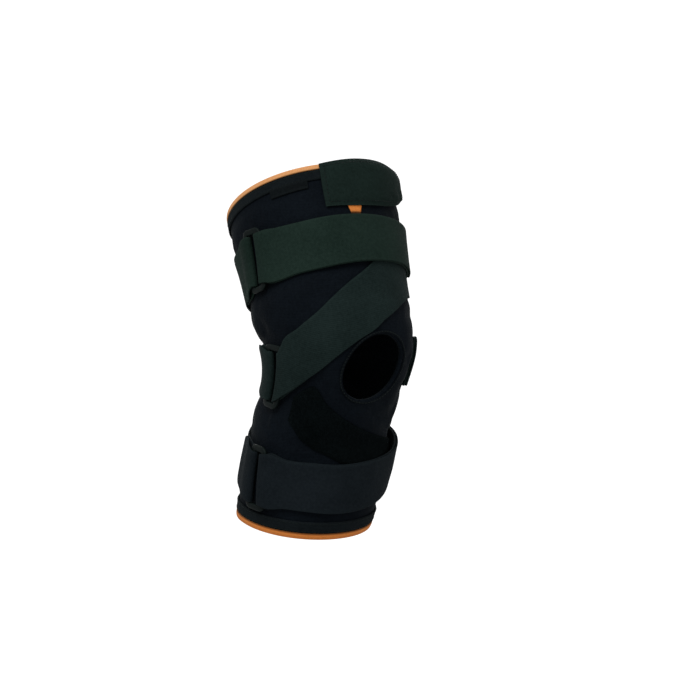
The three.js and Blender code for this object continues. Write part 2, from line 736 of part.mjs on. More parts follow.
// Pad that follows a course of its own
function coursePad({ course, columns, rows, base, thickness, edge, endEdge }) {
  const first = course[0].turn;
  const last = course.at(-1).turn;
  return padBody(columns, rows, (across, share, face) => {
    const turn = first + (last - first) * across;
    const middle = readTable(course, 'turn', 'middle', turn);
    const wide = readTable(course, 'turn', 'wide', turn);
    const full = thickness(turn) * Math.min(crown(share, edge), crown(across, endEdge));
    return legPoint(turn, upSleeve(turn, middle, (share - 0.5) * wide), base(turn) + face * full);
  });
}

// Pull flap over the top edge: thin and square at its outer-side end, padded and rounded at the other
const flapCourse = [
  { turn: -22, middle: 0.890 * thighLength, wide: 0.91 * flapHeight, thick: 0.38 * flapThickness },
  { turn: 5, middle: 0.905 * thighLength, wide: 1.00 * flapHeight, thick: 0.62 * flapThickness },
  { turn: 32, middle: 0.927 * thighLength, wide: 0.91 * flapHeight, thick: 1.00 * flapThickness },
  { turn: 45, middle: 0.945 * thighLength, wide: 0.75 * flapHeight, thick: 1.00 * flapThickness },
  { turn: 54, middle: 0.960 * thighLength, wide: 0.53 * flapHeight, thick: 0.95 * flapThickness },
  { turn: 61, middle: 0.971 * thighLength, wide: 0.31 * flapHeight, thick: 0.85 * flapThickness },
  { turn: 66, middle: 0.977 * thighLength, wide: 0.16 * flapHeight, thick: 0.70 * flapThickness },
];
const tapeTop = layerGap + tapeThickness;

addPiece('top_flap', coursePad({
  course: flapCourse,
  columns: 14,
  rows: 5,
  base: (turn) => tapeTop + layerGap + flapStandOff * smoothStep(30, 70, turn),
  thickness: (turn) => readTable(flapCourse, 'turn', 'thick', turn),
  edge: 0.18,
  endEdge: 0.1,
}), webbing);

// Plush fastening band that runs from the knee loop down under the calf strap
const plushCourse = [
  { turn: -63, middle: -0.215 * shinLength, wide: 0.48 * plushWidth },
  { turn: -54, middle: -0.212 * shinLength, wide: 0.84 * plushWidth },
  { turn: -47, middle: -0.215 * shinLength, wide: 1.08 * plushWidth },
  { turn: -33, middle: -0.262 * shinLength, wide: 0.98 * plushWidth },
  { turn: -23, middle: -0.295 * shinLength, wide: 0.89 * plushWidth },
  { turn: 0, middle: -0.368 * shinLength, wide: 0.82 * plushWidth },
  { turn: 30, middle: -0.450 * shinLength, wide: 0.78 * plushWidth },
  { turn: 72, middle: -0.540 * shinLength, wide: 0.74 * plushWidth },
];

addPiece('plush_band', coursePad({
  course: plushCourse,
  columns: (plushCourse.at(-1).turn - plushCourse[0].turn) / columnStep,
  rows: 4,
  base: () => plushGap,
  thickness: () => plushThickness,
  edge: 0.12,
  endEdge: 0.06,
}), plush);

// Plain woven label on the top tape, and a plain tag sewn under the flap
const labelCourse = [
  { turn: -57, middle: 0.906 * thighLength, wide: labelHeight },
  { turn: -31, middle: 0.912 * thighLength, wide: labelHeight },
];
const tagCourse = [
  { turn: -8, middle: 0.752 * thighLength, wide: tagHeight },
  { turn: 5, middle: 0.752 * thighLength, wide: tagHeight },
];

addPiece('label', coursePad({
  course: labelCourse,
  columns: 4,
  rows: 2,
  base: () => tapeTop + layerGap,
  thickness: () => labelThickness,
  edge: 0.2,
  endEdge: 0.1,
}), wovenLabel);
addPiece('orange_tag', coursePad({
  course: tagCourse,
  columns: 2,
  rows: 2,
  base: () => layerGap,
  thickness: () => tagThickness,
  edge: 0.2,
  endEdge: 0.1,
}), orangeTrim);

export default brace;
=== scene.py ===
import math

import bpy
import numpy as np
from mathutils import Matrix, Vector


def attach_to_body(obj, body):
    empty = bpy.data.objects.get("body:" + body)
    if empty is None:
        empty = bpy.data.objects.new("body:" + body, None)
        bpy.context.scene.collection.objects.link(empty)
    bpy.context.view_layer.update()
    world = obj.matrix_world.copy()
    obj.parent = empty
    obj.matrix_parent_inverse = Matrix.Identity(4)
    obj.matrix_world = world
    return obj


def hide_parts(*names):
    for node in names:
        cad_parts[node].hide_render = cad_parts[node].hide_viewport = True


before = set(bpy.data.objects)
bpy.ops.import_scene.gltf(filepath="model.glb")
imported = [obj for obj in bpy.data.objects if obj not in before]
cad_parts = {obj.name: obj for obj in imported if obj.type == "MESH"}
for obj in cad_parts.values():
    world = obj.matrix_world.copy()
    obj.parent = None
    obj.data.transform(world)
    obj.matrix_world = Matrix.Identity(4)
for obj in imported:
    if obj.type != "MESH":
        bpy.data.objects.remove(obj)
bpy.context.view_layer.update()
scene = bpy.context.scene
mm = 0.001
print("frame loaded,", len(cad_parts), "nodes")


def place(name, data):
    obj = bpy.data.objects.new(name, data)
    scene.collection.objects.link(obj)
    return obj


def setSockets(node, values):
    for name, value in values.items():
        node.inputs[name].default_value = value


def newMaterial(name):
    material = bpy.data.materials.new(name)
    material.use_nodes = True
    tree = material.node_tree
    return material, tree, tree.nodes["Principled BSDF"]


def gridFaces(rows, columns, closeRows=False, closeColumns=False, start=0):
    i = np.arange(rows if closeRows else rows - 1)
    k = np.arange(columns if closeColumns else columns - 1)
    i, k = (v.ravel() for v in np.meshgrid(i, k, indexing="ij"))
    nextI, nextK = (i + 1) % rows, (k + 1) % columns
    corners = ((i, k), (i, nextK), (nextI, nextK), (nextI, k))
    return (np.stack([a * columns + b for a, b in corners], -1) + start).tolist()


# camera: level with the knee, a little to its outer side
view = {
    "azimuth": -30,
    "distance": 1.7,
    "target": (0.00935, -0.0054, 0.0126),
    "lens": 97.14,
    "sensor": 36,
}


def makeCamera():
    data = bpy.data.cameras.new("kneeCamera")
    data.lens = view["lens"]
    data.sensor_width = view["sensor"]
    camera = place("kneeCamera", data)
    turn = math.radians(view["azimuth"])
    back = Vector((math.sin(turn), -math.cos(turn), 0))
    camera.location = Vector(view["target"]) + back * view["distance"]
    camera.rotation_euler = (-back).to_track_quat("-Z", "Y").to_euler()
    scene.camera = camera


makeCamera()

# studio: a pale floor that runs up into a round backdrop, and large soft lights
studio = {
    "floorLevel": -0.62,
    "floorRadius": 2.6,
    "bend": 1.0,
    "bendSteps": 17,
    "wallTop": 3.4,
    "spokes": 64,
    "floorColour": (0.93, 0.93, 0.93, 1),
    "floorRoughness": 0.9,
    "floorGlow": 0.28,
    "worldColour": (1.0, 1.0, 1.0, 1),
    "worldStrength": 0.78,
}
lightRows = [
    # name, azimuth, height, distance, size, power
    ("keySoftbox", -52, 1.35, 1.6, 1.0, 38),
    ("fillSoftbox", 28, 0.30, 2.0, 1.2, 8),
    ("backSoftbox", 150, 1.20, 1.5, 1.3, 26),
]


def makeSweep():
    reach, bend = studio["floorRadius"], studio["bend"]
    angle = np.linspace(0, math.pi / 2, studio["bendSteps"])
    radius = np.concatenate([[0, reach / 2], reach + bend * np.sin(angle), [reach + bend]])[:, None]
    height = np.concatenate([[0, 0], bend * (1 - np.cos(angle)), [studio["wallTop"]]])[:, None]
    turn = 2 * math.pi * np.arange(studio["spokes"]) / studio["spokes"]
    rise = studio["floorLevel"] + height + 0 * turn
    points = np.stack([radius * np.cos(turn), radius * np.sin(turn), rise], -1).reshape(-1, 3)
    mesh = bpy.data.meshes.new("studioSweep")
    mesh.from_pydata(points.tolist(), [], gridFaces(len(radius), len(turn), closeColumns=True))
    mesh.shade_smooth()
    sweep = place("studioSweep", mesh)
    paint, tree, shader = newMaterial("studioPaint")
    setSockets(shader, {
        "Base Color": studio["floorColour"], "Roughness": studio["floorRoughness"],
        "Emission Color": studio["worldColour"], "Emission Strength": studio["floorGlow"],
    })
    mesh.materials.append(paint)
    sweep.visible_diffuse = False
    sweep.visible_glossy = False
    sweep.visible_shadow = False


def makeLights():
    world = bpy.data.worlds.new("studioAir")
    world.use_nodes = True
    setSockets(world.node_tree.nodes["Background"], {
        "Color": studio["worldColour"], "Strength": studio["worldStrength"],
    })
    scene.world = world
    for name, azimuth, height, distance, size, power in lightRows:
        data = bpy.data.lights.new(name, "AREA")
        data.size = size
        data.energy = power
        light = place(name, data)
        turn = math.radians(azimuth)
        light.location = (distance * math.sin(turn), -distance * math.cos(turn), height)
        light.rotation_euler = (-Vector(light.location)).to_track_quat("-Z", "Y").to_euler()
    scene.view_settings.view_transform = "Standard"


makeSweep()
makeLights()
print("camera and studio ready")

# the leg shape that every layer follows, in millimetres and degrees
leg = {
    "thighLength": 157, "shinLength": 150,
    "thighWidth": 154, "thighDepth": 160,
    "kneeWidth": 134, "kneeDepth": 135,
    "calfWidth": 125, "calfDepth": 128,
    "thighLean": 21, "shinLean": 23, "shinSide": 4.2,
    "bendLength": 80, "sideBlend": 60,
    "topSlant": 2.5, "bottomSlant": 11.5, "bottomSideSlant": 3,
}
thighLength, shinLength = leg["thighLength"], leg["shinLength"]


def columnsOf(names, rows):
    return {name: np.array([row[k] for row in rows], float) for k, name in enumerate(names)}


legParts = {
    # part of the leg: its length, width and depth
    "shin": (shinLength, leg["calfWidth"], leg["calfDepth"]),
    "bend": (leg["bendLength"], leg["kneeWidth"], leg["kneeDepth"]),
    "thigh": (thighLength, leg["thighWidth"], leg["thighDepth"]),
}


def legRow(part, up, half, front, back):
    length, width, depth = legParts[part]
    return (up * length, half * width, front * depth, back * depth)


def shiftRow(part, up, sideways):
    length, width, depth = legParts[part]
    return (up * length, sideways * width)


legSections = columnsOf(("up", "half", "front", "back"), [
    legRow("shin", -1.10, 0.460, 0.518, 0.437),
    legRow("shin", -0.80, 0.498, 0.483, 0.527),
    legRow("shin", -0.60, 0.497, 0.422, 0.575),
    legRow("shin", -0.37, 0.478, 0.370, 0.590),
    legRow("bend", -0.25, 0.451, 0.395, 0.522),
    legRow("bend", 0.125, 0.490, 0.507, 0.494),
    legRow("thigh", 0.25, 0.453, 0.444, 0.434),
    legRow("thigh", 0.44, 0.457, 0.446, 0.463),
    legRow("thigh", 0.63, 0.469, 0.461, 0.476),
    legRow("thigh", 0.82, 0.493, 0.466, 0.503),
    legRow("thigh", 1.04, 0.501, 0.474, 0.525),
])
centreShifts = columnsOf(("up", "x"), [
    shiftRow("shin", -0.60, 0),
    shiftRow("shin", -0.37, -0.017),
    shiftRow("bend", -0.25, -0.012),
    shiftRow("bend", 0.125, 0.004),
    shiftRow("thigh", 0.16, 0.002),
    shiftRow("thigh", 0.26, -0.010),
    shiftRow("thigh", 0.44, -0.006),
    shiftRow("thigh", 0.82, -0.004),
    shiftRow("thigh", 1.04, 0),
])


def ramp(low, high, x):
    t = np.clip((np.asarray(x, float) - low) / (high - low), 0, 1)
    return t * t * (3 - 2 * t)


def readTable(table, key, column, at):
    keys, values = table[key], table[column]
    at = np.clip(at, keys[0], keys[-1])
    step = np.diff(keys)
    slope = np.diff(values) / step
    tangent = np.empty_like(values)
    tangent[0], tangent[-1] = slope[0], slope[-1]
    tangent[1:-1] = (slope[:-1] * step[1:] + slope[1:] * step[:-1]) / (step[:-1] + step[1:])
    i = np.clip(np.searchsorted(keys, at, side="right") - 1, 0, len(keys) - 2)
    t = (at - keys[i]) / step[i]
    start = (1 + 2 * t) * (1 - t) ** 2 * values[i] + t * (1 - t) ** 2 * step[i] * tangent[i]
    end = t * t * (3 - 2 * t) * values[i + 1] + t * t * (t - 1) * step[i] * tangent[i + 1]
    return start + end


halfBend = leg["bendLength"] / 2
bendRate = math.radians(leg["thighLean"] + leg["shinLean"]) / leg["bendLength"]
startLean = math.radians(leg["thighLean"] - leg["shinLean"]) / 2


def legCentre(up):
    bent = np.clip(up, -halfBend, halfBend)
    lean = startLean + bendRate * bent
    down = np.maximum(-up, 0)
    blend = leg["sideBlend"]
    sideways = np.where(down < blend, down ** 2 / (2 * blend), down - blend / 2)
    x = readTable(centreShifts, "up", "x", up) - math.tan(math.radians(leg["shinSide"])) * sideways
    y = (math.cos(startLean) - np.cos(lean)) / bendRate + np.sin(lean) * (up - bent)
    z = (np.sin(lean) - math.sin(startLean)) / bendRate + np.cos(lean) * (up - bent)
    return lean, x, y, z


def sideDepth(turn, up):
    front = readTable(legSections, "up", "front", up)
    back = readTable(legSections, "up", "back", up)
    return np.where(np.cos(np.radians(turn)) > 0, front, back)


# turn 0 is the front of the knee and 90 its inner side
def legPoint(turn, up, out):
    turn, up, out = np.broadcast_arrays(*(np.asarray(v, float) for v in (turn, up, out)))
    lean, x, y, z = legCentre(up)
    angle = np.radians(turn)
    half = readTable(legSections, "up", "half", up) + out
    depth = (sideDepth(turn, up) + out) * np.cos(angle)
    x = x + half * np.sin(angle)
    return np.stack([x, y - depth * np.cos(lean), z + depth * np.sin(lean)], -1)


def unit(v):
    return v / np.maximum(np.linalg.norm(v, axis=-1, keepdims=True), 1e-9)


def legNormal(turn, up):
    across = legPoint(np.add(turn, 0.5), up, 0) - legPoint(np.subtract(turn, 0.5), up, 0)
    along = legPoint(turn, np.add(up, 0.5), 0) - legPoint(turn, np.subtract(up, 0.5), 0)
    return unit(np.cross(across, along))


def perDegreeAt(turn, up):
    return float(np.linalg.norm(legPoint(turn + 1, up, 0) - legPoint(turn, up, 0)))


def stretchAt(turn, up):
    return 1 + sideDepth(turn, up) * np.cos(np.radians(turn)) * bendRate


def arcOf(up, stretch):
    return up + (stretch - 1) * np.clip(up, -halfBend, halfBend)


def upSleeve(turn, up, distance):
    stretch = stretchAt(turn, up)
    extra = (stretch - 1) * halfBend
    reached = arcOf(up, stretch) + distance
    inside = np.abs(reached) <= halfBend + extra
    return np.where(inside, reached / stretch, reached - np.sign(reached) * extra)


def topEdge(turn):
    return thighLength + leg["topSlant"] * np.cos(np.radians(turn))


def bottomEdge(turn):
    angle = np.radians(turn)
    return -shinLength + leg["bottomSlant"] * np.cos(angle) + leg["bottomSideSlant"] * np.sin(angle)


# every fabric reads two maps of its mesh: "lay" (along, across and nearness to an edge) and
# "spot" (the point itself, in millimetres)
def mathNode(tree, operation, *values, clamp=False):
    node = tree.nodes.new("ShaderNodeMath")
    node.operation = operation
    node.use_clamp = clamp
    for k, value in enumerate(values):
        if isinstance(value, (int, float)):
            node.inputs[k].default_value = value
        else:
            tree.links.new(value, node.inputs[k])
    return node.outputs[0]


def noiseNode(tree, vector, scale, detail):
    node = tree.nodes.new("ShaderNodeTexNoise")
    setSockets(node, {"Scale": scale, "Detail": detail})
    tree.links.new(vector, node.inputs["Vector"])
    return node.outputs["Fac"]


def mixColour(tree, factor, first, second):
    node = tree.nodes.new("ShaderNodeMix")
    node.data_type = "RGBA"
    tree.links.new(factor, node.inputs["Factor"])
    for name, value in (("A", first), ("B", second)):
        socket = [s for s in node.inputs if s.name == name and s.type == "RGBA"][0]
        if isinstance(value, tuple):
            socket.default_value = (*value, 1)
        else:
            tree.links.new(value, socket)
    return [s for s in node.outputs if s.type == "RGBA"][0]


def meshMap(tree, name):
    attribute = tree.nodes.new("ShaderNodeAttribute")
    attribute.attribute_name = name
    return attribute.outputs["Vector"]


def layOf(tree):
    parts = tree.nodes.new("ShaderNodeSeparateXYZ")
    tree.links.new(meshMap(tree, "lay"), parts.inputs[0])
    return parts.outputs[0], parts.outputs[1], parts.outputs[2]


def scaleAdd(tree, value, factor, offset):
    return mathNode(tree, "MULTIPLY_ADD", value, factor, offset)


def addBump(tree, shader, height, look):
    bump = tree.nodes.new("ShaderNodeBump")
    setSockets(bump, {"Strength": look["relief"], "Distance": look["depth"] * mm})
    tree.links.new(height, bump.inputs["Height"])
    tree.links.new(bump.outputs["Normal"], shader.inputs["Normal"])


def threadWave(tree, value, pitch):
    return mathNode(tree, "SINE", mathNode(tree, "MULTIPLY", value, 2 * math.pi / pitch))


def weaveHeight(tree, along, across, look):
    lengthways = threadWave(tree, along, look["pitchAlong"])
    crossways = threadWave(tree, across, look["pitchAcross"])
    if look["weave"] == "plain":
        return scaleAdd(tree, mathNode(tree, "MULTIPLY", lengthways, crossways), 0.5, 0.5)
    if look["weave"] == "rib":
        return scaleAdd(tree, scaleAdd(tree, crossways, 0.35, lengthways), 0.4, 0.5)
    if look["weave"] == "knit":
        return scaleAdd(tree, crossways, 0.3, 0.5)
    slanted = mathNode(tree, "MULTIPLY", across, 1 / look["pitchAcross"])
    slanted = scaleAdd(tree, along, 1 / look["pitchAlong"], slanted)
    return scaleAdd(tree, threadWave(tree, slanted, 1.0), 0.5, 0.5)


def fabricMaterial(name, look):
    material, tree, shader = newMaterial(name)
    along, across, edge = layOf(tree)
    spot = meshMap(tree, "spot")
    height = weaveHeight(tree, along, across, look)
    mottle = noiseNode(tree, spot, look["mottleScale"], 3)
    grain = noiseNode(tree, spot, look["grainScale"], 3)
    lint = noiseNode(tree, spot, look["lintScale"], 2)
    share = 0.5
    for part, tone in zip((height, mottle, grain, lint), ("weave", "mottle", "grain", "lint")):
        share = scaleAdd(tree, mathNode(tree, "SUBTRACT", part, 0.5), look[tone + "Tone"], share)
    share = mathNode(tree, "ADD", share, 0.0, clamp=True)
    base = mixColour(tree, share, look["dark"], look["light"])
    # near an edge the colour turns to the look's edge colour: wear on most fabrics, painted shade on
    # the trims
    worn = mathNode(tree, "MULTIPLY", edge, look["edgeTone"], clamp=True)
    tree.links.new(mixColour(tree, worn, base, look["worn"]), shader.inputs["Base Color"])
    rough = scaleAdd(tree, mottle, look["roughSpread"], look["rough"] - look["roughSpread"] / 2)
    tree.links.new(rough, shader.inputs["Roughness"])
    setSockets(shader, {
        "Sheen Weight": look["sheen"], "Sheen Roughness": look["sheenRough"],
        "Sheen Tint": (*look["sheenTint"], 1), "Specular IOR Level": look["specular"],
    })
    relief = scaleAdd(tree, lint, look["lintRelief"], height)
    addBump(tree, shader, scaleAdd(tree, grain, look["grainRelief"], relief), look)
    return material


fabricBase = {
    "weave": "plain", "pitchAlong": 1.2, "pitchAcross": 1.2, "weaveTone": 0.3,
    "mottleScale": 0.03, "mottleTone": 1.0,
    "grainScale": 0.42, "grainTone": 1.1, "grainRelief": 1.6,
    "lintScale": 1.3, "lintTone": 0.6, "lintRelief": 0.6,
    "depth": 0.25, "relief": 0.9, "edgeTone": 0.0, "rough": 0.85, "roughSpread": 0.12,
    "sheen": 0.008, "sheenRough": 0.45, "sheenTint": (0.8, 0.95, 0.95), "specular": 0.022,
}
neopreneLook = {
    **fabricBase, "weave": "knit", "pitchAcross": 1.4, "depth": 0.16, "rough": 0.8,
    "dark": (0.0008, 0.0014, 0.0024), "light": (0.0028, 0.0044, 0.0064), "worn": (0.01, 0.012, 0.014),
}
# the thigh, knee and calf webbing are one webbing in three tones, painted light and shade: brightest
# on the thigh, darker at the knee, darkest on the calf
webbingLook = {
    **fabricBase, "pitchAlong": 1.5, "pitchAcross": 1.8, "depth": 0.22, "weaveTone": 0.5,
    "dark": (0.0034, 0.0080, 0.0060), "light": (0.0090, 0.0174, 0.0138),
    "worn": (0.012, 0.021, 0.017), "edgeTone": 0.2, "rough": 0.78,
}
halfShadedKneeWebbingLook = {
    **webbingLook, "dark": (0.0030, 0.0062, 0.0058), "light": (0.0080, 0.0140, 0.0134),
    "worn": (0.012, 0.020, 0.019),
}
shadedCalfWebbingLook = {
    **webbingLook, "dark": (0.0024, 0.0038, 0.0050), "light": (0.0064, 0.0090, 0.0110),
    "worn": (0.008, 0.012, 0.013),
}
flapLook = {
    **webbingLook, "pitchAlong": 1.1, "pitchAcross": 1.1, "depth": 0.18,
    "dark": (0.0024, 0.0056, 0.0044), "light": (0.0066, 0.0126, 0.0108), "worn": (0.009, 0.015, 0.013),
}
tapeLook = {
    **fabricBase, "weave": "rib", "pitchAlong": 0.9, "pitchAcross": 2.2, "edgeTone": 0.2,
    "dark": (0.0020, 0.0031, 0.0038), "light": (0.0056, 0.0078, 0.0090), "worn": (0.007, 0.009, 0.010),
}
rimLook = {
    **tapeLook, "dark": (0.0007, 0.0012, 0.0019), "light": (0.0024, 0.0036, 0.0050), "edgeTone": 0.0,
}
plushLook = {
    **fabricBase, "pitchAlong": 0.8, "pitchAcross": 0.8, "depth": 0.3, "rough": 0.95,
    "dark": (0.0006, 0.0012, 0.0014), "light": (0.0028, 0.0044, 0.0048), "worn": (0.003, 0.004, 0.004),
    "lintScale": 1.8, "lintTone": 1.0, "lintRelief": 1.5, "sheen": 0.004, "specular": 0.008,
}
# the trim's dark edge colour is painted shade: a dark brown band on its outer face beside the tape
trimLook = {
    **fabricBase, "weave": "rib", "pitchAlong": 1.3, "pitchAcross": 3.0, "depth": 0.35,
    "dark": (0.31, 0.085, 0.012), "light": (0.50, 0.170, 0.038), "worn": (0.030, 0.009, 0.001),
    "mottleTone": 0.6, "grainTone": 0.5, "grainRelief": 0.5, "edgeTone": 0.95,
    "sheen": 0.03, "sheenTint": (1.0, 0.8, 0.5), "rough": 0.7, "specular": 0.08,
}
# the top trim is a paler copy of the same orange trim, painted light for the lit top end; its dark
# edge colour is painted shade by the tape
litTopTrimLook = {
    **trimLook, "dark": (0.36, 0.155, 0.055), "light": (0.54, 0.270, 0.115),
    "worn": (0.055, 0.022, 0.003),
}
labelLook = {
    **fabricBase, "weave": "twill", "pitchAlong": 0.5, "pitchAcross": 0.5, "depth": 0.1,
    "dark": (0.0011, 0.0018, 0.0022), "light": (0.0032, 0.0046, 0.0052), "worn": (0.006, 0.008, 0.009),
    "edgeTone": 0.3, "rough": 0.7,
}
threadLook = {
    **fabricBase, "weave": "twill", "pitchAlong": 0.35, "pitchAcross": 0.7, "depth": 0.06,
    "dark": (0.0020, 0.0034, 0.0032), "light": (0.0060, 0.0092, 0.0086), "worn": (0.01, 0.01, 0.01),
    "rough": 0.6, "specular": 0.06,
}
plasticLook = {
    "dark": (0.0010, 0.0023, 0.0021), "light": (0.0033, 0.0061, 0.0057),
    "cloudScale": 0.15, "grainScale": 3.0, "relief": 0.35, "depth": 0.05,
    "rough": 0.45, "roughSpread": 0.14, "specular": 0.055,
}


def plasticMaterial(name, look):
    material, tree, shader = newMaterial(name)
    edge = layOf(tree)[2]
    spot = meshMap(tree, "spot")
    cloud = noiseNode(tree, spot, look["cloudScale"], 2)
    grain = noiseNode(tree, spot, look["grainScale"], 3)
    # the bar's rounded corners turn paler: part wear, part painted highlight
    share = mathNode(tree, "MULTIPLY", mathNode(tree, "ADD", cloud, edge), 0.5)
    tree.links.new(mixColour(tree, share, look["dark"], look["light"]), shader.inputs["Base Color"])
    rough = scaleAdd(tree, grain, look["roughSpread"], look["rough"])
    tree.links.new(rough, shader.inputs["Roughness"])
    setSockets(shader, {"Specular IOR Level": look["specular"]})
    addBump(tree, shader, grain, look)
    return material


fabrics = {
    # finish: material, look
    "neoprene": ("kneeNeoprene", neopreneLook),
    "webbing": ("litThighWebbing", webbingLook),
    "halfShadedKneeWebbing": ("halfShadedKneeWebbing", halfShadedKneeWebbingLook),
    "shadedCalfWebbing": ("shadedCalfWebbing", shadedCalfWebbingLook),
    "flap": ("flapCloth", flapLook),
    "tape": ("bindingTape", tapeLook),
    "rim": ("kneecapBinding", rimLook),
    "plush": ("plushPile", plushLook),
    "bottomTrim": ("orangeTrim", trimLook),
    "topTrim": ("litTopTrim", litTopTrimLook),
    "label": ("wovenLabel", labelLook),
    "thread": ("darkThread", threadLook),
}
finishes = {finish: fabricMaterial(*row) for finish, row in fabrics.items()}
finishes["plastic"] = plasticMaterial("loopPlastic", plasticLook)
print("materials ready")


# meshes: points and their lay in millimetres
def makeObject(name, points, faces, lay, finish):
    mesh = bpy.data.meshes.new(name)
    mesh.from_pydata((points.reshape(-1, 3) * mm).tolist(), [], faces)
    spread = np.stack([np.broadcast_to(v, points.shape[:-1]) for v in lay], -1)
    for title, values in (("lay", spread), ("spot", points)):
        attribute = mesh.attributes.new(title, "FLOAT_VECTOR", "POINT")
        attribute.data.foreach_set("vector", values.astype(np.float32).ravel())
    mesh.materials.append(finishes[finish])
    mesh.shade_smooth()
    return place(name, mesh)


layPerDegree = {"sleeve": 1.2, "ends": 1.28, "pads": 1.25}  # mm of cloth for a degree of turn


def borderOf(grid):
    return np.concatenate([grid[:-1, 0], grid[-1, :-1], grid[:0:-1, -1], grid[0, :0:-1]])


def lengthAlong(path):
    return np.concatenate([[0], np.cumsum(np.linalg.norm(np.diff(path, axis=0), axis=1))])


def meshPoints(mesh):
    co = np.empty(len(mesh.vertices) * 3)
    mesh.vertices.foreach_get("co", co)
    return co.reshape(-1, 3)


def faceOutward(obj):
    mesh = obj.data
    mesh.calc_loop_triangles()
    co = meshPoints(mesh)
    tris = np.empty(len(mesh.loop_triangles) * 3, int)
    mesh.loop_triangles.foreach_get("vertices", tris)
    a, b, c = (co[tris.reshape(-1, 3)[:, k]] for k in range(3))
    if np.einsum("ij,ij->", a, np.cross(b, c)) < 0:
        mesh.flip_normals()


def bake(obj):
    deps = bpy.context.evaluated_depsgraph_get()
    made = bpy.data.meshes.new_from_object(
        obj.evaluated_get(deps), preserve_all_data_layers=True, depsgraph=deps)
    obj.modifiers.clear()
    obj.data = made
    obj.data.shade_smooth()


def subdivide(obj):
    modifier = obj.modifiers.new("smoothing", "SUBSURF")
    modifier.levels = modifier.render_levels = 1
    bake(obj)


def attach(obj, slot, *nodes):
    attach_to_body(obj, "root")
    if nodes:
        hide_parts(*nodes)
    return obj


def makeSolid(name, points, faces, lay, finish, slot, node):
    obj = makeObject(name, points, faces, lay, finish)
    faceOutward(obj)
    attach(obj, slot, node)


def readPoints(obj):
    deps = bpy.context.evaluated_depsgraph_get()
    return meshPoints(obj.evaluated_get(deps).data) / mm


def writePoints(obj, points):
    obj.data.vertices.foreach_set("co", (points * mm).ravel())
    obj.data.update()


# cloth: the mesh swells or slackens between its held points, and each point moves no further
# than its cap
def runCloth(obj, hold, cap, look):
    rest = readPoints(obj)
    group = obj.vertex_groups.new(name="hold")
    group.add(np.flatnonzero(hold > 0.5).tolist(), 1.0, "REPLACE")
    cloth = obj.modifiers.new("cloth", "CLOTH")
    settings = cloth.settings
    settings.quality = look["quality"]
    settings.mass = look["mass"]
    settings.tension_stiffness = settings.compression_stiffness = look["stiff"]
    settings.shear_stiffness = look["stiff"] / 3
    settings.bending_stiffness = look["bending"]
    settings.shrink_min = look["shrink"]
    settings.use_pressure = True
    settings.uniform_pressure_force = look["pressure"]
    settings.vertex_group_mass = "hold"
    settings.pin_stiffness = 1
    settings.effector_weights.gravity = 0
    cloth.collision_settings.use_collision = False
    for step in range(1, look["frames"] + 1):
        scene.frame_set(step)
    moved = readPoints(obj) - rest
    obj.modifiers.clear()
    obj.vertex_groups.clear()
    scene.frame_set(1)
    far = np.linalg.norm(moved, axis=1, keepdims=True)
    limit = np.asarray(cap).reshape(-1, 1)
    moved *= limit * np.tanh(far / np.maximum(limit, 1e-6)) / np.maximum(far, 1e-6)
    writePoints(obj, rest + moved)
    print(" ", obj.name, "cloth settled, moved up to", round(float(np.abs(moved).max()), 2), "mm")


# stitches: short rounded threads laid along a path on the surface
stitch = {"rings": 5, "sides": 6, "roundness": 0.93, "rise": 0.7, "sink": 0.5, "aim": 0.4}
fineStitch = {"pitch": 3.0, "length": 2.3, "radius": 0.32}
boldStitch = {"pitch": 3.6, "length": 2.7, "radius": 0.42}
labelStitch = {"pitch": 1.4, "length": 1.1, "radius": 0.16}


def oneStitch(look):
    t = np.linspace(-1, 1, stitch["rings"])
    swell = np.sqrt(np.maximum(1 - (stitch["roundness"] * t) ** 2, 0))
    angle = 2 * np.pi * np.arange(stitch["sides"]) / stitch["sides"]
    x = np.repeat(t * look["length"] / 2, stitch["sides"])
    y = (swell[:, None] * np.cos(angle)).ravel() * look["radius"]
    z = (swell[:, None] * np.sin(angle)).ravel() * look["radius"]
    lift = look["radius"] * (stitch["rise"] * swell - stitch["sink"])
    return x, y, z + np.repeat(lift, stitch["sides"])


def stitchPoints(path, normal, look):
    reach = lengthAlong(path)
    count = max(int(reach[-1] // look["pitch"]), 1)
    at = (np.arange(count) + 0.5) * reach[-1] / count

    def along(values, where):
        return np.stack([np.interp(where, reach, values[:, k]) for k in range(3)], -1)

    ahead = unit(along(path, at + stitch["aim"]) - along(path, at - stitch["aim"]))
    out = along(normal, at)
    out = unit(out - ahead * np.sum(out * ahead, axis=1, keepdims=True))
    axes = (ahead, np.cross(out, ahead), out)
    local = sum(axis[:, None] * part[:, None] for axis, part in zip(axes, oneStitch(look)))
    return along(path, at)[:, None] + local


def makeStitching(name, rows, look, slot):
    points = np.concatenate([stitchPoints(path, normal, look) for path, normal in rows])
    rings, sides = stitch["rings"], stitch["sides"]
    size = rings * sides
    faces = []
    for start in range(0, len(points) * size, size):
        faces += gridFaces(rings, sides, closeColumns=True, start=start)
        faces.append([start + k for k in range(sides)][::-1])
        faces.append([start + size - sides + k for k in range(sides)])
    x, y, z = oneStitch(look)
    attach(makeObject(name, points, faces, (x, y, 0), "thread"), slot)


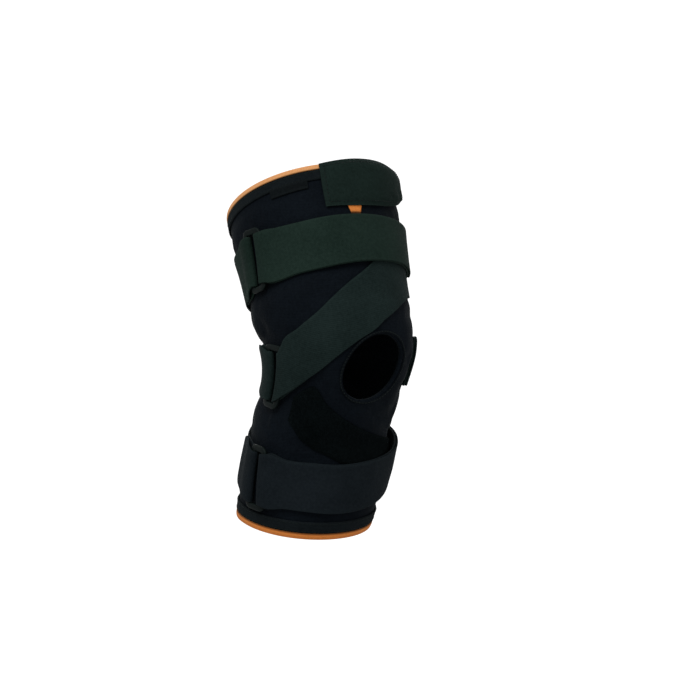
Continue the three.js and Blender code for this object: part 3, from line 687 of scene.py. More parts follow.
# straps: sizes of the layers, and the loops that the webbing passes through
layers = {
    "gap": 0.55, "strapThickness": 1.6, "strapWidth": 47, "plushThickness": 2.0, "plushGap": 0.7,
}
loop = {
    "bar": 5.4, "thickness": 3, "slot": 10.5, "clearance": 1, "corner": 3.1,
    "settle": 16, "gather": 0.95, "cornerSteps": 8, "sideSteps": 26, "sides": 16, "wornTone": 1.6,
}
strapWidth, strapThickness, gap = layers["strapWidth"], layers["strapThickness"], layers["gap"]
gather = loop["gather"]
gatheredWidth = gather * strapWidth
underLevel = gap + strapThickness / 2
barLevel = gap + strapThickness + gap + loop["thickness"] / 2
foldRadius = barLevel - underLevel
restLevel = underLevel + strapThickness + gap
foldCentre = loop["slot"] / 2 + foldRadius - strapThickness / 2 - gap
barEnd = loop["slot"] / 2 + loop["bar"]

loops = {
    "thigh": {"turn": -81.5, "up": 0.586 * thighLength, "lean": 5.6},
    "knee": {"turn": -85, "up": -0.072 * shinLength, "lean": 4},
    "medial": {"turn": 103, "up": 0.018 * thighLength, "lean": 0},
    "calf": {"turn": -80.3, "up": -0.689 * shinLength, "lean": -9.5},
}


def courseTable(length, width, rows):
    return columnsOf(("turn", "middle", "wide"), [(t, m * length, w * width) for t, m, w in rows])


# courses: turn, place up the leg and width, as shares of the leg's length and the strap's width
thighCourse = courseTable(thighLength, strapWidth, [
    (-122, 0.588, 0.94), (-108, 0.574, 0.98), (-94, 0.578, 1.00), (-88.5, 0.592, gather),
    (-81.5, 0.586, gather), (-74.5, 0.577, gather), (-68, 0.566, 1.01), (-60, 0.558, 1.00),
    (-50, 0.555, 0.97), (-31, 0.551, 0.97), (3, 0.561, 0.92), (37, 0.575, 0.88),
    (70, 0.586, 0.88), (150, 0.583, 0.96), (236, 0.588, 0.93),
])
belowKnee = shinLength / thighLength
crossCourse = courseTable(thighLength, strapWidth, [
    (-122, -0.067 * belowKnee, 0.92), (-98, -0.058 * belowKnee, 1.00),
    (-92, -0.070 * belowKnee, gather), (-85, -0.072 * belowKnee, gather),
    (-78, -0.069 * belowKnee, gather), (-72, -0.027 * belowKnee, 1.09),
    (-60, 0.024, 1.11), (-45, 0.080, 1.09), (-30, 0.138, 1.07), (-15, 0.187, 1.11),
    (0, 0.231, 1.17), (16, 0.300, 1.15), (32, 0.370, 1.07), (45, 0.412, 1.01),
    (60, 0.449, 0.97), (90, 0.538, 0.94), (126, 0.580, 0.88),
])
rearCourse = courseTable(thighLength, strapWidth, [
    (60, 0.012, 0.96), (96, 0.017, gather), (103, 0.018, gather), (110, 0.022, gather),
    (122, 0.070, 1.00), (150, 0.235, 1.10), (190, 0.430, 1.12), (228, 0.560, 0.96),
])
calfCourse = courseTable(shinLength, strapWidth, [
    (-122, -0.700, 0.88), (-93, -0.695, 0.98), (-87.3, -0.700, gather), (-80.3, -0.689, gather),
    (-73.3, -0.679, gather), (-68, -0.669, 1.00), (-52, -0.652, 0.90), (-32, -0.633, 0.90),
    (10, -0.608, 0.89), (45, -0.584, 0.82), (72, -0.545, 0.82), (108, -0.556, 0.90),
    (160, -0.660, 0.94), (236, -0.700, 0.87),
])
plushCourse = courseTable(shinLength, 46, [
    (-63, -0.215, 0.48), (-54, -0.212, 0.84), (-47, -0.215, 1.08), (-33, -0.262, 0.98),
    (-23, -0.295, 0.89), (0, -0.368, 0.82), (30, -0.450, 0.78), (72, -0.540, 0.74),
])
flapCourse = courseTable(thighLength, 45, [
    (-22, 0.890, 0.91), (5, 0.905, 1.00), (32, 0.927, 0.91), (45, 0.945, 0.75), (54, 0.960, 0.53),
    (61, 0.971, 0.31), (66, 0.977, 0.16),
])
flapCourse["thick"] = np.array([0.38, 0.62, 1.00, 1.00, 0.95, 0.85, 0.70])
courseReach = {"perDegree": 1.2, "pastEnd": 4, "outside": 200}


def alongCourse(course, turn):
    return readTable(course, "turn", "middle", turn), readTable(course, "turn", "wide", turn)


# how far a point is inside a course, in millimetres from its edge
def insideCourse(course, turn, up):
    first, last = course["turn"][0], course["turn"][-1]
    wrapped = (turn - first + 180 - (last - first) / 2) % 360 - 180 + (last - first) / 2 + first
    middle, wide = alongCourse(course, wrapped)
    stretch = stretchAt(turn, middle)
    away = np.abs(arcOf(up, stretch) - arcOf(middle, stretch))
    beyond = np.maximum(np.maximum(first - wrapped, wrapped - last), 0) * courseReach["perDegree"]
    beyond = np.where(beyond > courseReach["pastEnd"], courseReach["outside"], beyond)
    return wide / 2 - away - beyond


# sleeve: a padded tube over the leg, with the kneecap hole in a patch of its own
sleeve = {
    "columns": 112, "rows": 72, "crowding": 1.1, "wall": 3.9, "patchRings": 5,
    "windowColumns": 13, "windowRows": 12,
    "swell": 1.9, "holeSwell": 0.3, "pressedIn": 0.15, "undulation": 0.35, "backTurn": 183,
}
sleeveCloth = {
    "quality": 4, "mass": 0.15, "stiff": 12, "bending": 0.4, "shrink": -0.035,
    "pressure": 1.2, "frames": 16,
}
kneecap = {"width": 61, "height": 60, "turn": 3, "up": -2, "skew": 0.12}
creases = [
    # turn, up, depth, spread round, spread along, rise per degree; up and along are shares
    # of the thigh's length above the knee and of the shin's below it
    (180, 0.02, 3.2, 75, 0.06, 0.05),
    (215, 0.22, 2.6, 45, 0.05, -0.1),
    (150, -0.20, 2.2, 50, 0.06, 0.1),
    (240, -0.16, 1.1, 40, 0.05, 0.1),
    (262, 0.17, 1.3, 26, 0.022, -0.12),
    (255, 0.08, 1.1, 28, 0.02, 0.08),
    (205, 0.10, 1.6, 48, 0.026, 0.04),
    (160, 0.13, 1.4, 44, 0.024, -0.06),
    (190, -0.08, 1.5, 46, 0.026, -0.05),
]
kneecapPerDegree = perDegreeAt(kneecap["turn"], kneecap["up"])
kneecapStretch = float(stretchAt(kneecap["turn"], kneecap["up"]))


def creaseAt(turn, up):
    depth = np.zeros(np.broadcast(turn, up).shape)
    for at, height, deep, wide, high, rise in creases:
        length = thighLength if height > 0 else shinLength
        across = (turn - at + 540) % 360 - 180
        along = up - height * length - rise * across
        depth = depth + deep * np.exp(-(across / wide) ** 2 - (along / (high * length)) ** 2)
    return depth


def kneecapPlace(across, along):
    turn = kneecap["turn"] + across / kneecapPerDegree
    return turn, upSleeve(kneecap["turn"], kneecap["up"], along + kneecap["skew"] * across)


def ripple(turn, up):
    a, b = np.radians(turn), up / 10
    wave = np.sin(3 * a + 0.9 * b + 1.3) * np.sin(0.55 * b - 2 * a + 0.4)
    return 0.6 * wave + 0.4 * np.sin(7 * a - 0.8 * b) * np.sin(0.9 * b + 4 * a + 2.1)


# how far the sleeve is held down under straps, loops and end tapes
cover = {"loopAlong": 30, "loopTurn": 9, "topStrip": 17, "bottomStrip": 18, "fade": (-9, -1.5)}


def coveredShare(turn, up):
    inside = np.full(np.broadcast(turn, up).shape, -float(courseReach["outside"]))
    for course in (thighCourse, crossCourse, rearCourse, calfCourse, plushCourse, flapCourse):
        inside = np.maximum(inside, insideCourse(course, turn, up))
    for ring in loops.values():
        beside = np.abs((turn - ring["turn"] + 540) % 360 - 180) * courseReach["perDegree"]
        stretch = stretchAt(turn, ring["up"])
        away = np.abs(arcOf(up, stretch) - arcOf(ring["up"], stretch))
        inside = np.maximum(inside, np.minimum(cover["loopAlong"] - away, cover["loopTurn"] - beside))
    inside = np.maximum(inside, up - (topEdge(turn) - cover["topStrip"]))
    inside = np.maximum(inside, bottomEdge(turn) + cover["bottomStrip"] - up)
    return ramp(*cover["fade"], inside)


# lines of the grid round the kneecap that the patch takes the place of
def windowLines(up):
    middleRow = int(np.argmin(np.abs(up[0] - kneecap["up"])))
    column = np.arange(-sleeve["windowColumns"], sleeve["windowColumns"] + 1)
    row = middleRow + np.arange(-sleeve["windowRows"], sleeve["windowRows"] + 1)
    return np.stack(np.meshgrid(column, row, indexing="ij"), -1)


# rings of points from the window's border in to the kneecap hole
def patchPoints(borderTurn, borderUp):
    across = (borderTurn - kneecap["turn"]) * kneecapPerDegree
    along = arcOf(borderUp, kneecapStretch) - arcOf(kneecap["up"], kneecapStretch)
    along = along - kneecap["skew"] * across
    halfWide, halfHigh = kneecap["width"] / 2, kneecap["height"] / 2
    angle = np.arctan2(along / halfHigh, across / halfWide)
    holeAcross, holeAlong = halfWide * np.cos(angle), halfHigh * np.sin(angle)
    steps = [(r + 1) / sleeve["patchRings"] for r in range(sleeve["patchRings"])]
    return [kneecapPlace(across + (holeAcross - across) * t, along + (holeAlong - along) * t)
            for t in steps]


def makeSleeve():
    columns, rows = sleeve["columns"], sleeve["rows"]
    i, j = np.meshgrid(np.arange(columns), np.arange(rows + 1), indexing="ij")
    turn = kneecap["turn"] + i * 360 / columns
    height = 2 * j / rows - 1
    reach = np.abs(height) ** sleeve["crowding"]
    up = np.where(height < 0, reach * bottomEdge(turn), reach * topEdge(turn))
    window = windowLines(up)
    keep = np.ones(turn.shape, bool)
    keep[window[1:-1, 1:-1, 0] % columns, window[1:-1, 1:-1, 1]] = False
    index = np.full(keep.shape, -1)
    index[keep] = np.arange(keep.sum())
    outside = np.ones(turn.shape, bool)
    outside[window[:-1, :-1, 0] % columns, window[:-1, :-1, 1]] = False
    c, r = np.nonzero(outside[:, :-1])
    after = (c + 1) % columns
    quads = [index[c, r], index[after, r], index[after, r + 1], index[c, r + 1]]
    faces = np.stack(quads, -1).tolist()
    border = borderOf(window)
    borderColumn, borderRow = border[:, 0] % columns, border[:, 1]
    borderTurn = kneecap["turn"] + border[:, 0] * 360 / columns
    patch = patchPoints(borderTurn, up[borderColumn, borderRow])
    base, count = int(keep.sum()), len(border)
    patchIndex = base + np.arange(sleeve["patchRings"] * count)
    patchIndex = np.concatenate([index[borderColumn, borderRow], patchIndex])
    patchFaces = gridFaces(sleeve["patchRings"] + 1, count, closeColumns=True)
    faces += patchIndex[np.array(patchFaces)].tolist()
    allTurn = np.concatenate([turn[keep], *(ringTurn for ringTurn, ringUp in patch)])
    allUp = np.concatenate([up[keep], *(ringUp for ringTurn, ringUp in patch)])
    covered = coveredShare(allTurn, allUp)
    out = -creaseAt(allTurn, allUp) + sleeve["undulation"] * ripple(allTurn, allUp) * (1 - covered)
    points = legPoint(allTurn, allUp, out - sleeve["pressedIn"] * covered)
    wrapped = np.where(allTurn > sleeve["backTurn"], allTurn - 360, allTurn)
    lay = (wrapped * layPerDegree["sleeve"], arcOf(allUp, stretchAt(allTurn, allUp)), 0)
    obj = makeObject("sleeveShell", points, faces, lay, "neoprene")
    hold = covered.copy()
    hold[-count:] = 1
    cap = sleeve["swell"] * (1 - covered)
    cap[-2 * count:] *= sleeve["holeSwell"]
    runCloth(obj, hold, cap + 1e-3, sleeveCloth)
    subdivide(obj)
    shell = obj.modifiers.new("wall", "SOLIDIFY")
    shell.thickness = sleeve["wall"] * mm
    shell.offset = -1
    bake(obj)
    attach(obj, "neoprene", "sleeve")
    print("sleeve built,", len(obj.data.polygons), "faces")


makeSleeve()

# rim sewn round the kneecap hole
rim = {
    "width": 2.2, "thickness": 1.1, "inset": 0.5, "stations": 180, "layRadius": 30,
    "stitchSteps": 400, "stitchLift": 0.05,
    "section": [
        # share of the width, share of the thickness
        (0, 0), (0.5, 0), (1, 0), (1.02, 0.3), (0.93, 0.72), (0.72, 0.97), (0.5, 1.0),
        (0.28, 0.97), (0.07, 0.72), (-0.02, 0.3),
    ],
}


def kneecapLine(angle, margin):
    across = (kneecap["width"] / 2 + margin) * np.cos(angle)
    along = (kneecap["height"] / 2 + margin) * np.sin(angle)
    return kneecapPlace(across, along)


def makeRim():
    angle = np.linspace(0, 2 * np.pi, rim["stations"], endpoint=False)
    rings = []
    for share, height in rim["section"]:
        turn, up = kneecapLine(angle, rim["inset"] + share * rim["width"])
        rings.append(legPoint(turn, up, gap + height * rim["thickness"]))
    inward = np.array([share for share, height in rim["section"]]) * rim["width"]
    lay = ((angle * rim["layRadius"])[:, None], inward, 0)
    faces = gridFaces(rim["stations"], len(rings), closeRows=True, closeColumns=True)
    makeSolid("kneecapRim", np.stack(rings, 1), faces, lay, "rim", "binding", "kneecap_rim")
    angle = np.linspace(0, 2 * np.pi, rim["stitchSteps"])
    turn, up = kneecapLine(angle, rim["inset"] + 0.5 * rim["width"])
    row = (legPoint(turn, up, gap + rim["thickness"] + rim["stitchLift"]), legNormal(turn, up))
    makeStitching("kneecapRimStitches", [row], fineStitch, "binding")


makeRim()

# orange trim folded over each end, and the black tape sewn beside it
trim = {
    "thickness": 0.8, "inside": 8, "topHeight": 5, "bottomHeight": 6, "wall": 4, "bulge": 0.21,
    "groove": 0.28, "grooveAt": 0.38, "grooveWidth": 0.09, "paintedShadeWidth": 0.34, "fold": 1.2,
}
tape = {
    "thickness": 1.0, "topHeight": 9, "bottomHeight": 10, "stations": 360,
    "edge": 0.55, "crownWidth": 0.08, "wornWidth": 0.12, "stitchInset": 1.5, "stitchSteps": 721,
}


def edgeRing(name, edge, side, section, finish, slot, node):
    turn = np.linspace(0, 360, tape["stations"] + 1)
    along, out, near = np.array(section, float).T
    points = legPoint(turn[:, None], edge(turn)[:, None] + side * along, out)
    lay = ((turn * layPerDegree["ends"])[:, None], along, near)
    faces = gridFaces(len(turn), len(section), closeColumns=True)
    makeSolid(name, points, faces, lay, finish, slot, node)


# sections: along the sleeve from its edge, out from it, and nearness to an edge (painted shade by the
# tape on the trim, wear on the tape)
def trimSection(height):
    t, wall, fold = trim["thickness"], trim["wall"], trim["fold"]
    outFace, inFace = gap + t, -wall - gap - t
    rows = []
    for share in np.linspace(0, 1, 7):
        along = outFace - height + share * (height - fold)
        groove = trim["groove"] * math.exp(-((share - trim["grooveAt"]) / trim["grooveWidth"]) ** 2)
        out = outFace + trim["bulge"] * math.sin(math.pi * share) - groove
        # the third value marks the band next to the tape, which the trim's finish paints in shade
        rows.append((along, out, max(1 - share / trim["paintedShadeWidth"], 0)))
    middle, radius = (outFace + inFace) / 2, (outFace - inFace) / 2
    for angle in np.linspace(0.12, 0.88, 9) * math.pi:
        along = outFace - fold + fold * math.sin(angle) ** 0.6
        rows.append((along, middle + radius * math.cos(angle), 0))
    for share in np.linspace(0, 1, 4):
        rows.append((outFace - fold - share * (trim["inside"] - 1), inFace, 0))
    inner = inFace + t
    rows += [(-trim["inside"], inner, 0), (gap - 0.6, inner, 0), (gap, inner + 0.5, 0)]
    rows += [(gap, gap - 0.4, 0), (gap - 0.4, gap, 0), (outFace - height, gap, 0)]
    return rows


def tapeSection(trimHeight, tapeHeight):
    near = trim["thickness"] - trimHeight
    rows = []
    for share in np.linspace(0, 1, 11):
        edge = min(share, 1 - share)
        crown = tape["edge"] + (1 - tape["edge"]) * min(1, edge / tape["crownWidth"]) ** 0.5
        out = gap + tape["thickness"] * crown
        rows.append((near - share * tapeHeight, out, max(0, 1 - edge / tape["wornWidth"])))
    return rows + [(near - tapeHeight, gap, 0), (near, gap, 0)]


def ringPath(edge, side, along, out):
    turn = np.linspace(0, 360, tape["stitchSteps"])
    up = edge(turn) + side * along
    return legPoint(turn, up, out), legNormal(turn, up)


def makeEnd(name, edge, side):
    trimHeight, tapeHeight = trim[name + "Height"], tape[name + "Height"]
    edgeRing(name + "Trim", edge, side, trimSection(trimHeight), name + "Trim", "orange_trim",
             name + "_trim")
    edgeRing(name + "Tape", edge, side, tapeSection(trimHeight, tapeHeight), "tape", "binding",
             name + "_tape")
    first = trim["thickness"] - trimHeight - tape["stitchInset"]
    last = trim["thickness"] - trimHeight - tapeHeight + tape["stitchInset"]
    rows = [ringPath(edge, side, along, gap + tape["thickness"]) for along in (first, last)]
    makeStitching(name + "TapeStitches", rows, fineStitch, "binding")


makeEnd("top", topEdge, 1)
makeEnd("bottom", bottomEdge, -1)
print("rim, trims and tapes built")


# webbing: runs under the bar, folds round it and comes back over
def bridging(span, turn):
    return ramp(span[0], span[1], turn) * (1 - ramp(span[2], span[3], turn))


overCross = (-45, -14, 236, 300)
overPlush = (-36, -9, 90, 130)
overCalfHollow = (30, 63, 99, 150)
overKneeHollow = (60, 75, 112, 150)


def thighLift(turn, share):
    return (strapThickness + gap) * bridging(overCross, turn)


def calfLift(turn, share):
    plushLift = (layers["plushThickness"] + layers["plushGap"]) * bridging(overPlush, turn)
    return plushLift + 4 * bridging(overCalfHollow, turn) * share


def medialLift(turn, share):
    return 2.5 * bridging(overKneeHollow, turn) * (1 - share)


def noLift(turn, share):
    return 0 * turn


webbing = {
    "step": 2.2, "foldSteps": 16, "acrossSteps": 22, "edgeSteps": 3, "corner": 6,
    "waviness": 0.16, "waveTurn": 9, "calmLength": 30, "returnLength": 33,
    "wornWidth": (3.2, 1.2), "wornTone": 0.8,
}


def foldedRoute(ring, side, under, over, perDegree):
    underEnd = side * (under - ring["turn"]) * perDegree
    overEnd = side * (over - ring["turn"]) * perDegree
    start = foldCentre + loop["settle"] / 8
    along = np.linspace(underEnd, start, max(int((underEnd - start) / webbing["step"]), 3))
    route = [np.stack([along, np.full(len(along), underLevel)], -1)]
    angle = -np.pi / 2 - np.pi * np.arange(webbing["foldSteps"] + 1) / webbing["foldSteps"]
    fold = [foldCentre + foldRadius * np.cos(angle), barLevel + foldRadius * np.sin(angle)]
    route.append(np.stack(fold, -1))
    straight = overEnd - webbing["corner"]
    along = np.linspace(barEnd, straight, max(int((straight - barEnd) / webbing["step"]), 3))
    corner = straight + webbing["corner"] * np.sin(np.linspace(0, np.pi / 2, 9))[1:]
    along = np.concatenate([along, corner])
    overBar = barLevel + foldRadius
    level = overBar + (restLevel - overBar) * ramp(barEnd, barEnd + loop["settle"], along)
    level = level + (underLevel - restLevel) * ramp(underEnd, underEnd + loop["settle"], along)
    route.append(np.stack([along, level], -1))
    return np.concatenate(route)


def webbingSection():
    face = np.linspace(-1, 1, webbing["acrossSteps"])
    arc = np.linspace(0, np.pi, webbing["edgeSteps"] + 2)[1:-1]
    rows = [(a, 0, 1) for a in face]
    rows += [(1, math.sin(t), math.cos(t)) for t in arc]
    rows += [(a, 0, -1) for a in face[::-1]]
    rows += [(-1, -math.sin(t), -math.cos(t)) for t in arc]
    return np.array(rows)


def makeWebbing(name, node, finish, ring, side, course, lift, under, over):
    perDegree = perDegreeAt(ring["turn"], ring["up"])
    route = foldedRoute(ring, side, under, over, perDegree)
    tangent = unit(np.gradient(route, axis=0))
    normal = np.stack([-tangent[:, 1], tangent[:, 0]], -1)
    section, half = webbingSection(), strapThickness / 2
    reach = lengthAlong(route)
    toEnd = np.minimum(reach[-1] - reach, webbing["corner"])
    narrower = webbing["corner"] - np.sqrt(webbing["corner"] ** 2 - (webbing["corner"] - toEnd) ** 2)
    flat = route[:, None] + normal[:, None] * (section[:, 2] * half)[None, :, None]
    turn = ring["turn"] + side * flat[..., 0] / perDegree
    middle, wide = alongCourse(course, turn)
    halfWide = wide / 2 - half - narrower[:, None]
    across = section[:, 0][None] * halfWide + (section[:, 1] * half)[None]
    share = across / wide
    fade = 1 - ramp(barEnd, barEnd + 3 * loop["settle"], flat[..., 0])
    leaning = turn + ring["lean"] * share * fade
    calm = ramp(barEnd, barEnd + webbing["calmLength"], flat[..., 0])
    wave = np.sin(turn / webbing["waveTurn"] + 4 * share) * (0.4 + 1.2 * np.abs(share))
    wave = webbing["waviness"] * calm * wave
    level = flat[..., 1] + lift(turn, share + 0.5) + np.maximum(wave, -0.1)
    points = legPoint(leaning, upSleeve(turn, middle, across), level)
    worn = ramp(*webbing["wornWidth"], halfWide + half - np.abs(across)) * webbing["wornTone"]
    stations, corners = len(route), len(section)
    faces = gridFaces(stations, corners, closeColumns=True)
    faces.append(list(range(corners))[::-1])
    faces.append([(stations - 1) * corners + k for k in range(corners)])
    makeSolid(name, points, faces, (reach[:, None], across, worn), finish, "webbing", node)


def returnEnd(ring):
    return ring["turn"] + webbing["returnLength"] / perDegreeAt(ring["turn"], ring["up"])


kneeReturn, medialReturn = returnEnd(loops["knee"]), returnEnd(loops["medial"])
webbingRows = [
    # loop, strap, finish, course, lift of strap and tab, under and over end of strap and of tab
    ("thigh", "thigh", "webbing", thighCourse, thighLift, noLift, (236, 72), (-120, -119)),
    ("knee", "cross", "halfShadedKneeWebbing", crossCourse, noLift, noLift, (kneeReturn, 126), (-116, -115)),
    ("medial", "rear", "halfShadedKneeWebbing", rearCourse, medialLift, medialLift,
     (medialReturn, 225), (62, 63)),
    ("calf", "calf", "shadedCalfWebbing", calfCourse, calfLift, noLift, (236, 117), (-119, -118)),
]
for ringName, strap, finish, course, strapLift, tabLift, strapEnds, tabEnds in webbingRows:
    ring = loops[ringName]
    makeWebbing(strap + "Strap", strap + "_strap", finish, ring, 1, course, strapLift, *strapEnds)
    makeWebbing(ringName + "Tab", ringName + "_tab", finish, ring, -1, course, tabLift, *tabEnds)
print("webbing built")


# plastic loops: bars with a rounded, nearly square section
def squared(wave):
    return np.sign(wave) * np.abs(wave) ** 0.62


# the line round the middle of the bars, with the way out from it
def loopLine():
    halfAcross = loop["slot"] / 2 + loop["bar"] / 2
    halfAlong = gatheredWidth / 2 + loop["clearance"] + loop["bar"] / 2
    at, out = [], []
    for quarter, sign in enumerate(((1, 1), (-1, 1), (-1, -1), (1, -1))):
        angle = (quarter + np.arange(loop["cornerSteps"] + 1) / loop["cornerSteps"]) * math.pi / 2
        direction = np.stack([np.cos(angle), np.sin(angle)], -1)
        corner = np.array(sign) * (np.array([halfAcross, halfAlong]) - loop["corner"])
        at.append(corner + direction * loop["corner"])
        out.append(direction)
        if quarter % 2 == 1:
            run = 1 - 2 * np.arange(1, loop["sideSteps"])[:, None] / loop["sideSteps"]
            at.append(np.hstack([np.ones_like(run), run]) * at[-1][-1])
            out.append(np.ones_like(run) * direction[-1])
    return np.concatenate(at), np.concatenate(out)


def makeLoop(name, node, ring, lift):
    perDegree = perDegreeAt(ring["turn"], ring["up"])
    tilt = math.atan(ring["lean"] * perDegree / gatheredWidth)
    at, out = loopLine()
    angle = np.linspace(0, 2 * np.pi, loop["sides"], endpoint=False)
    wide = squared(np.cos(angle)) * loop["bar"] / 2
    thick = squared(np.sin(angle)) * loop["thickness"] / 2
    flat = at[:, None] + out[:, None] * wide[None, :, None]
    x = flat[..., 0] * math.cos(tilt) + flat[..., 1] * math.sin(tilt)
    y = flat[..., 1] * math.cos(tilt) - flat[..., 0] * math.sin(tilt)
    turn = ring["turn"] + x / perDegree
    standOff = lift(np.full(y.shape, float(ring["turn"])), 0.5 + y / strapWidth)
    points = legPoint(turn, upSleeve(turn, ring["up"], y), barLevel + thick[None] + standOff)
    # paler colour on the rounded corners of the bar's section: part wear, part painted highlight
    worn = np.abs(np.sin(angle) * np.cos(angle)) * loop["wornTone"]
    faces = gridFaces(len(at), len(angle), closeRows=True, closeColumns=True)
    makeSolid(name, points, faces, (x, y, worn), "plastic", "loop_plastic", node)


for name, ring in loops.items():
    makeLoop(name + "Loop", name + "_ring", ring, medialLift if name == "medial" else noLift)
print("loops built")

# pads: the flap, the plush band, the label and the tag
flap = {
    "columns": 60, "rows": 24, "thickness": 4.2, "edge": 0.16, "endEdge": 0.09,
    "standOff": 1.5, "swell": 1.6, "seam": 0.08, "endSeam": 0.04, "stitchInset": 2,
}
flapCloth = {
    "quality": 5, "mass": 0.15, "stiff": 10, "bending": 0.3, "shrink": -0.02,
    "pressure": 3, "frames": 18,
}
plush = {"columns": 150, "rows": 40, "thickness": 1.7, "edge": 0.08, "endEdge": 0.04}
pile = {
    "count": 15000, "length": 1.1, "radius": 0.09, "spread": 0.75, "corners": (0, 2.1, 4.2),
    "rootDepth": 0.1, "pressedFrom": -3, "pressedLength": 0.3, "seed": 7,
}
padEdge = {"length": 90, "worn": (2.6, 0.6)}
tapeTop = gap + tape["thickness"]


def crown(share, edge):
    inward = np.minimum(share, 1 - share)
    return 0.3 + 0.7 * np.sqrt(ramp(0, edge, inward))


def unitGrid(look):
    first, second = np.linspace(0, 1, look["columns"] + 1), np.linspace(0, 1, look["rows"] + 1)
    return np.meshgrid(first, second, indexing="ij")


def padPoints(course, look, base, face):
    i, j = unitGrid(look)
    turn = course["turn"][0] + (course["turn"][-1] - course["turn"][0]) * i
    middle, wide = alongCourse(course, turn)
    full = look["thickness"] * np.minimum(crown(j, look["edge"]), crown(i, look["endEdge"]))
    if "thick" in course:
        full = full * readTable(course, "turn", "thick", turn)
    if "taper" in look:
        centre = (course["turn"][0] + course["turn"][-1]) / 2
        turn = centre + (turn - centre) * (1 - look["taper"] * (1 - j))
    across = (j - 0.5) * wide
    up = upSleeve(turn, middle, across)
    near = np.minimum(np.minimum(j, 1 - j) * wide, np.minimum(i, 1 - i) * padEdge["length"])
    lay = (turn * layPerDegree["pads"], across, ramp(*padEdge["worn"], near))
    return legPoint(turn, up, base(turn, up, face) + face * full), lay, turn, up


def makePad(name, finish, course, look, base):
    inner, lay, turn, up = padPoints(course, look, base, 0)
    outer = padPoints(course, look, base, 1)[0]
    columns, rows = turn.shape
    size = columns * rows
    faces = [f[::-1] for f in gridFaces(columns, rows)] + gridFaces(columns, rows, start=size)
    here = borderOf(np.arange(size).reshape(columns, rows))
    after = np.roll(here, -1)
    faces += np.stack([here, after, size + after, size + here], -1).tolist()
    obj = makeObject(name, np.stack([inner, outer]), faces, lay, finish)
    faceOutward(obj)
    return obj, outer, turn, up


def flapBase(turn, up, face):
    return tapeTop + gap + flap["standOff"] * ramp(30, 70, turn)


def gridNormals(points):
    return unit(np.cross(np.gradient(points, axis=0), np.gradient(points, axis=1)))


def makeFlap():
    obj, outer, turn, up = makePad("topFlap", "flap", flapCourse, flap, flapBase)
    size = turn.size
    i, j = unitGrid(flap)
    seam = np.minimum(np.minimum(j, 1 - j) / flap["seam"], np.minimum(i, 1 - i) / flap["endSeam"])
    seam = seam.ravel()
    held = np.concatenate([np.ones(size), (seam < 1.01).astype(float)])
    swell = flap["swell"] * readTable(flapCourse, "turn", "thick", turn).ravel()
    cap = np.concatenate([np.zeros(size), swell * np.clip(seam - 1, 0, 1)]) + 1e-3
    runCloth(obj, held, cap, flapCloth)
    top = readPoints(obj)[size:].reshape(outer.shape)
    subdivide(obj)
    attach(obj, "webbing", "top_flap")
    inner = slice(flap["stitchInset"], -flap["stitchInset"])
    path = borderOf(top[inner, inner])
    normal = borderOf(gridNormals(top)[inner, inner])
    if np.sum(normal[0] * legNormal(turn[inner, inner][0, 0], up[inner, inner][0, 0])) < 0:
        normal = -normal
    row = (np.vstack([path, path[:1]]), np.vstack([normal, normal[:1]]))
    makeStitching("topFlapStitches", [row], boldStitch, "webbing")


makeFlap()


def plushBase(turn, up, face):
    return layers["plushGap"]


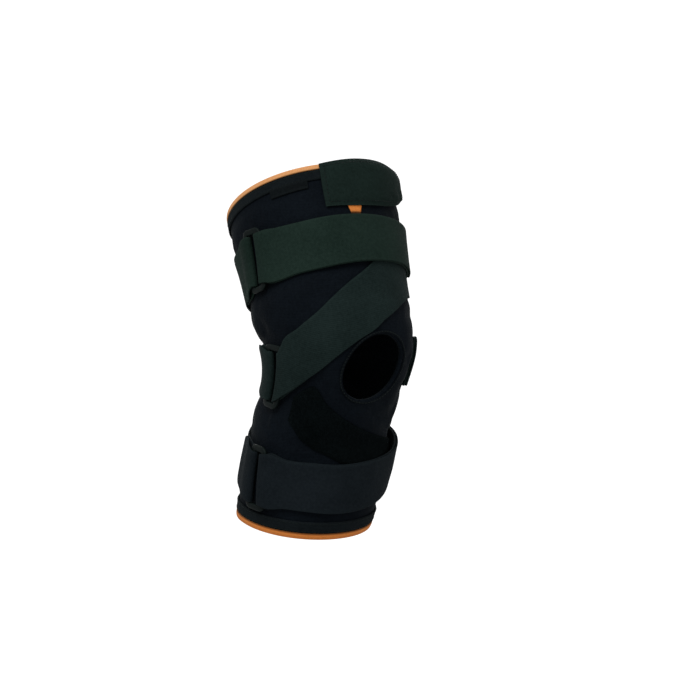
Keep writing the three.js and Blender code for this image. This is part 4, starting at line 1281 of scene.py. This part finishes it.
def makePlush():
    obj = makePad("plushBand", "plush", plushCourse, plush, plushBase)[0]
    attach(obj, "plush", "plush_band")
    rng = np.random.default_rng(pile["seed"])
    count = pile["count"]
    i, j = rng.random(count), rng.random(count)
    first, last = plushCourse["turn"][0], plushCourse["turn"][-1]
    fibreTurn = first + (last - first) * i
    middle, wide = alongCourse(plushCourse, fibreTurn)
    fibreUp = upSleeve(fibreTurn, middle, (j - 0.5) * wide)
    full = plush["thickness"] * np.minimum(crown(j, plush["edge"]), crown(i, plush["endEdge"]))
    root = legPoint(fibreTurn, fibreUp, layers["plushGap"] + full - pile["rootDepth"])
    lean = unit(legNormal(fibreTurn, fibreUp) + pile["spread"] * rng.normal(size=(count, 3)))
    side = unit(np.cross(lean, rng.normal(size=(count, 3))))
    other = np.cross(lean, side)
    length = pile["length"] * (0.5 + 0.5 * rng.random(count))[:, None]
    under = [insideCourse(course, fibreTurn, fibreUp) for course in (calfCourse, crossCourse)]
    pressed = np.maximum(*under) > pile["pressedFrom"]
    clear = np.where(pressed, pile["pressedLength"], 1.0)[:, None]
    corners = [root + pile["radius"] * (side * math.cos(a) + other * math.sin(a))
               for a in pile["corners"]]
    points = np.stack([*corners, root + lean * length * clear], 1)
    faces = []
    for b in range(0, 4 * count, 4):
        faces += [(b, b + 1, b + 3), (b + 1, b + 2, b + 3), (b + 2, b, b + 3)]
    lay = ((fibreTurn * layPerDegree["sleeve"])[:, None], fibreUp[:, None], 0)
    attach(makeObject("plushFibres", points, faces, lay, "plush"), "plush")


makePlush()

labelCourse = courseTable(thighLength, 8, [(-57, 0.906, 1), (-31, 0.912, 1)])
tagCourse = courseTable(thighLength, 12, [(-8, 0.752, 1), (5, 0.752, 1)])
labelPad = {"columns": 40, "rows": 12, "thickness": 0.6, "edge": 0.1, "endEdge": 0.03}
tagPad = {"columns": 24, "rows": 20, "thickness": 0.9, "edge": 0.12, "endEdge": 0.12, "taper": 0.45}


# below the tape's edge the underside of the label drops to the sleeve
def labelBase(turn, up, face):
    tapeEdge = topEdge(turn) + trim["thickness"] - trim["topHeight"] - tape["topHeight"]
    return tapeTop + gap - (1 - face) * tapeTop * ramp(0, -1.2, up - tapeEdge)


def tagBase(turn, up, face):
    return gap


def makeSmallPads():
    obj, outer, turn, up = makePad("blankLabel", "label", labelCourse, labelPad, labelBase)
    attach(obj, "label_weave", "label")
    normals = legNormal(turn, up)
    ends = [(outer[k, 1:-1], normals[k, 1:-1]) for k in (2, outer.shape[0] - 3)]
    makeStitching("labelStitches", ends, labelStitch, "label_weave")
    # the tag takes the bottom trim's finish, so its edges carry the trim's painted shade colour
    obj = makePad("plainTag", "bottomTrim", tagCourse, tagPad, tagBase)[0]
    attach(obj, "orange_trim", "orange_tag")


makeSmallPads()
print("pads built")
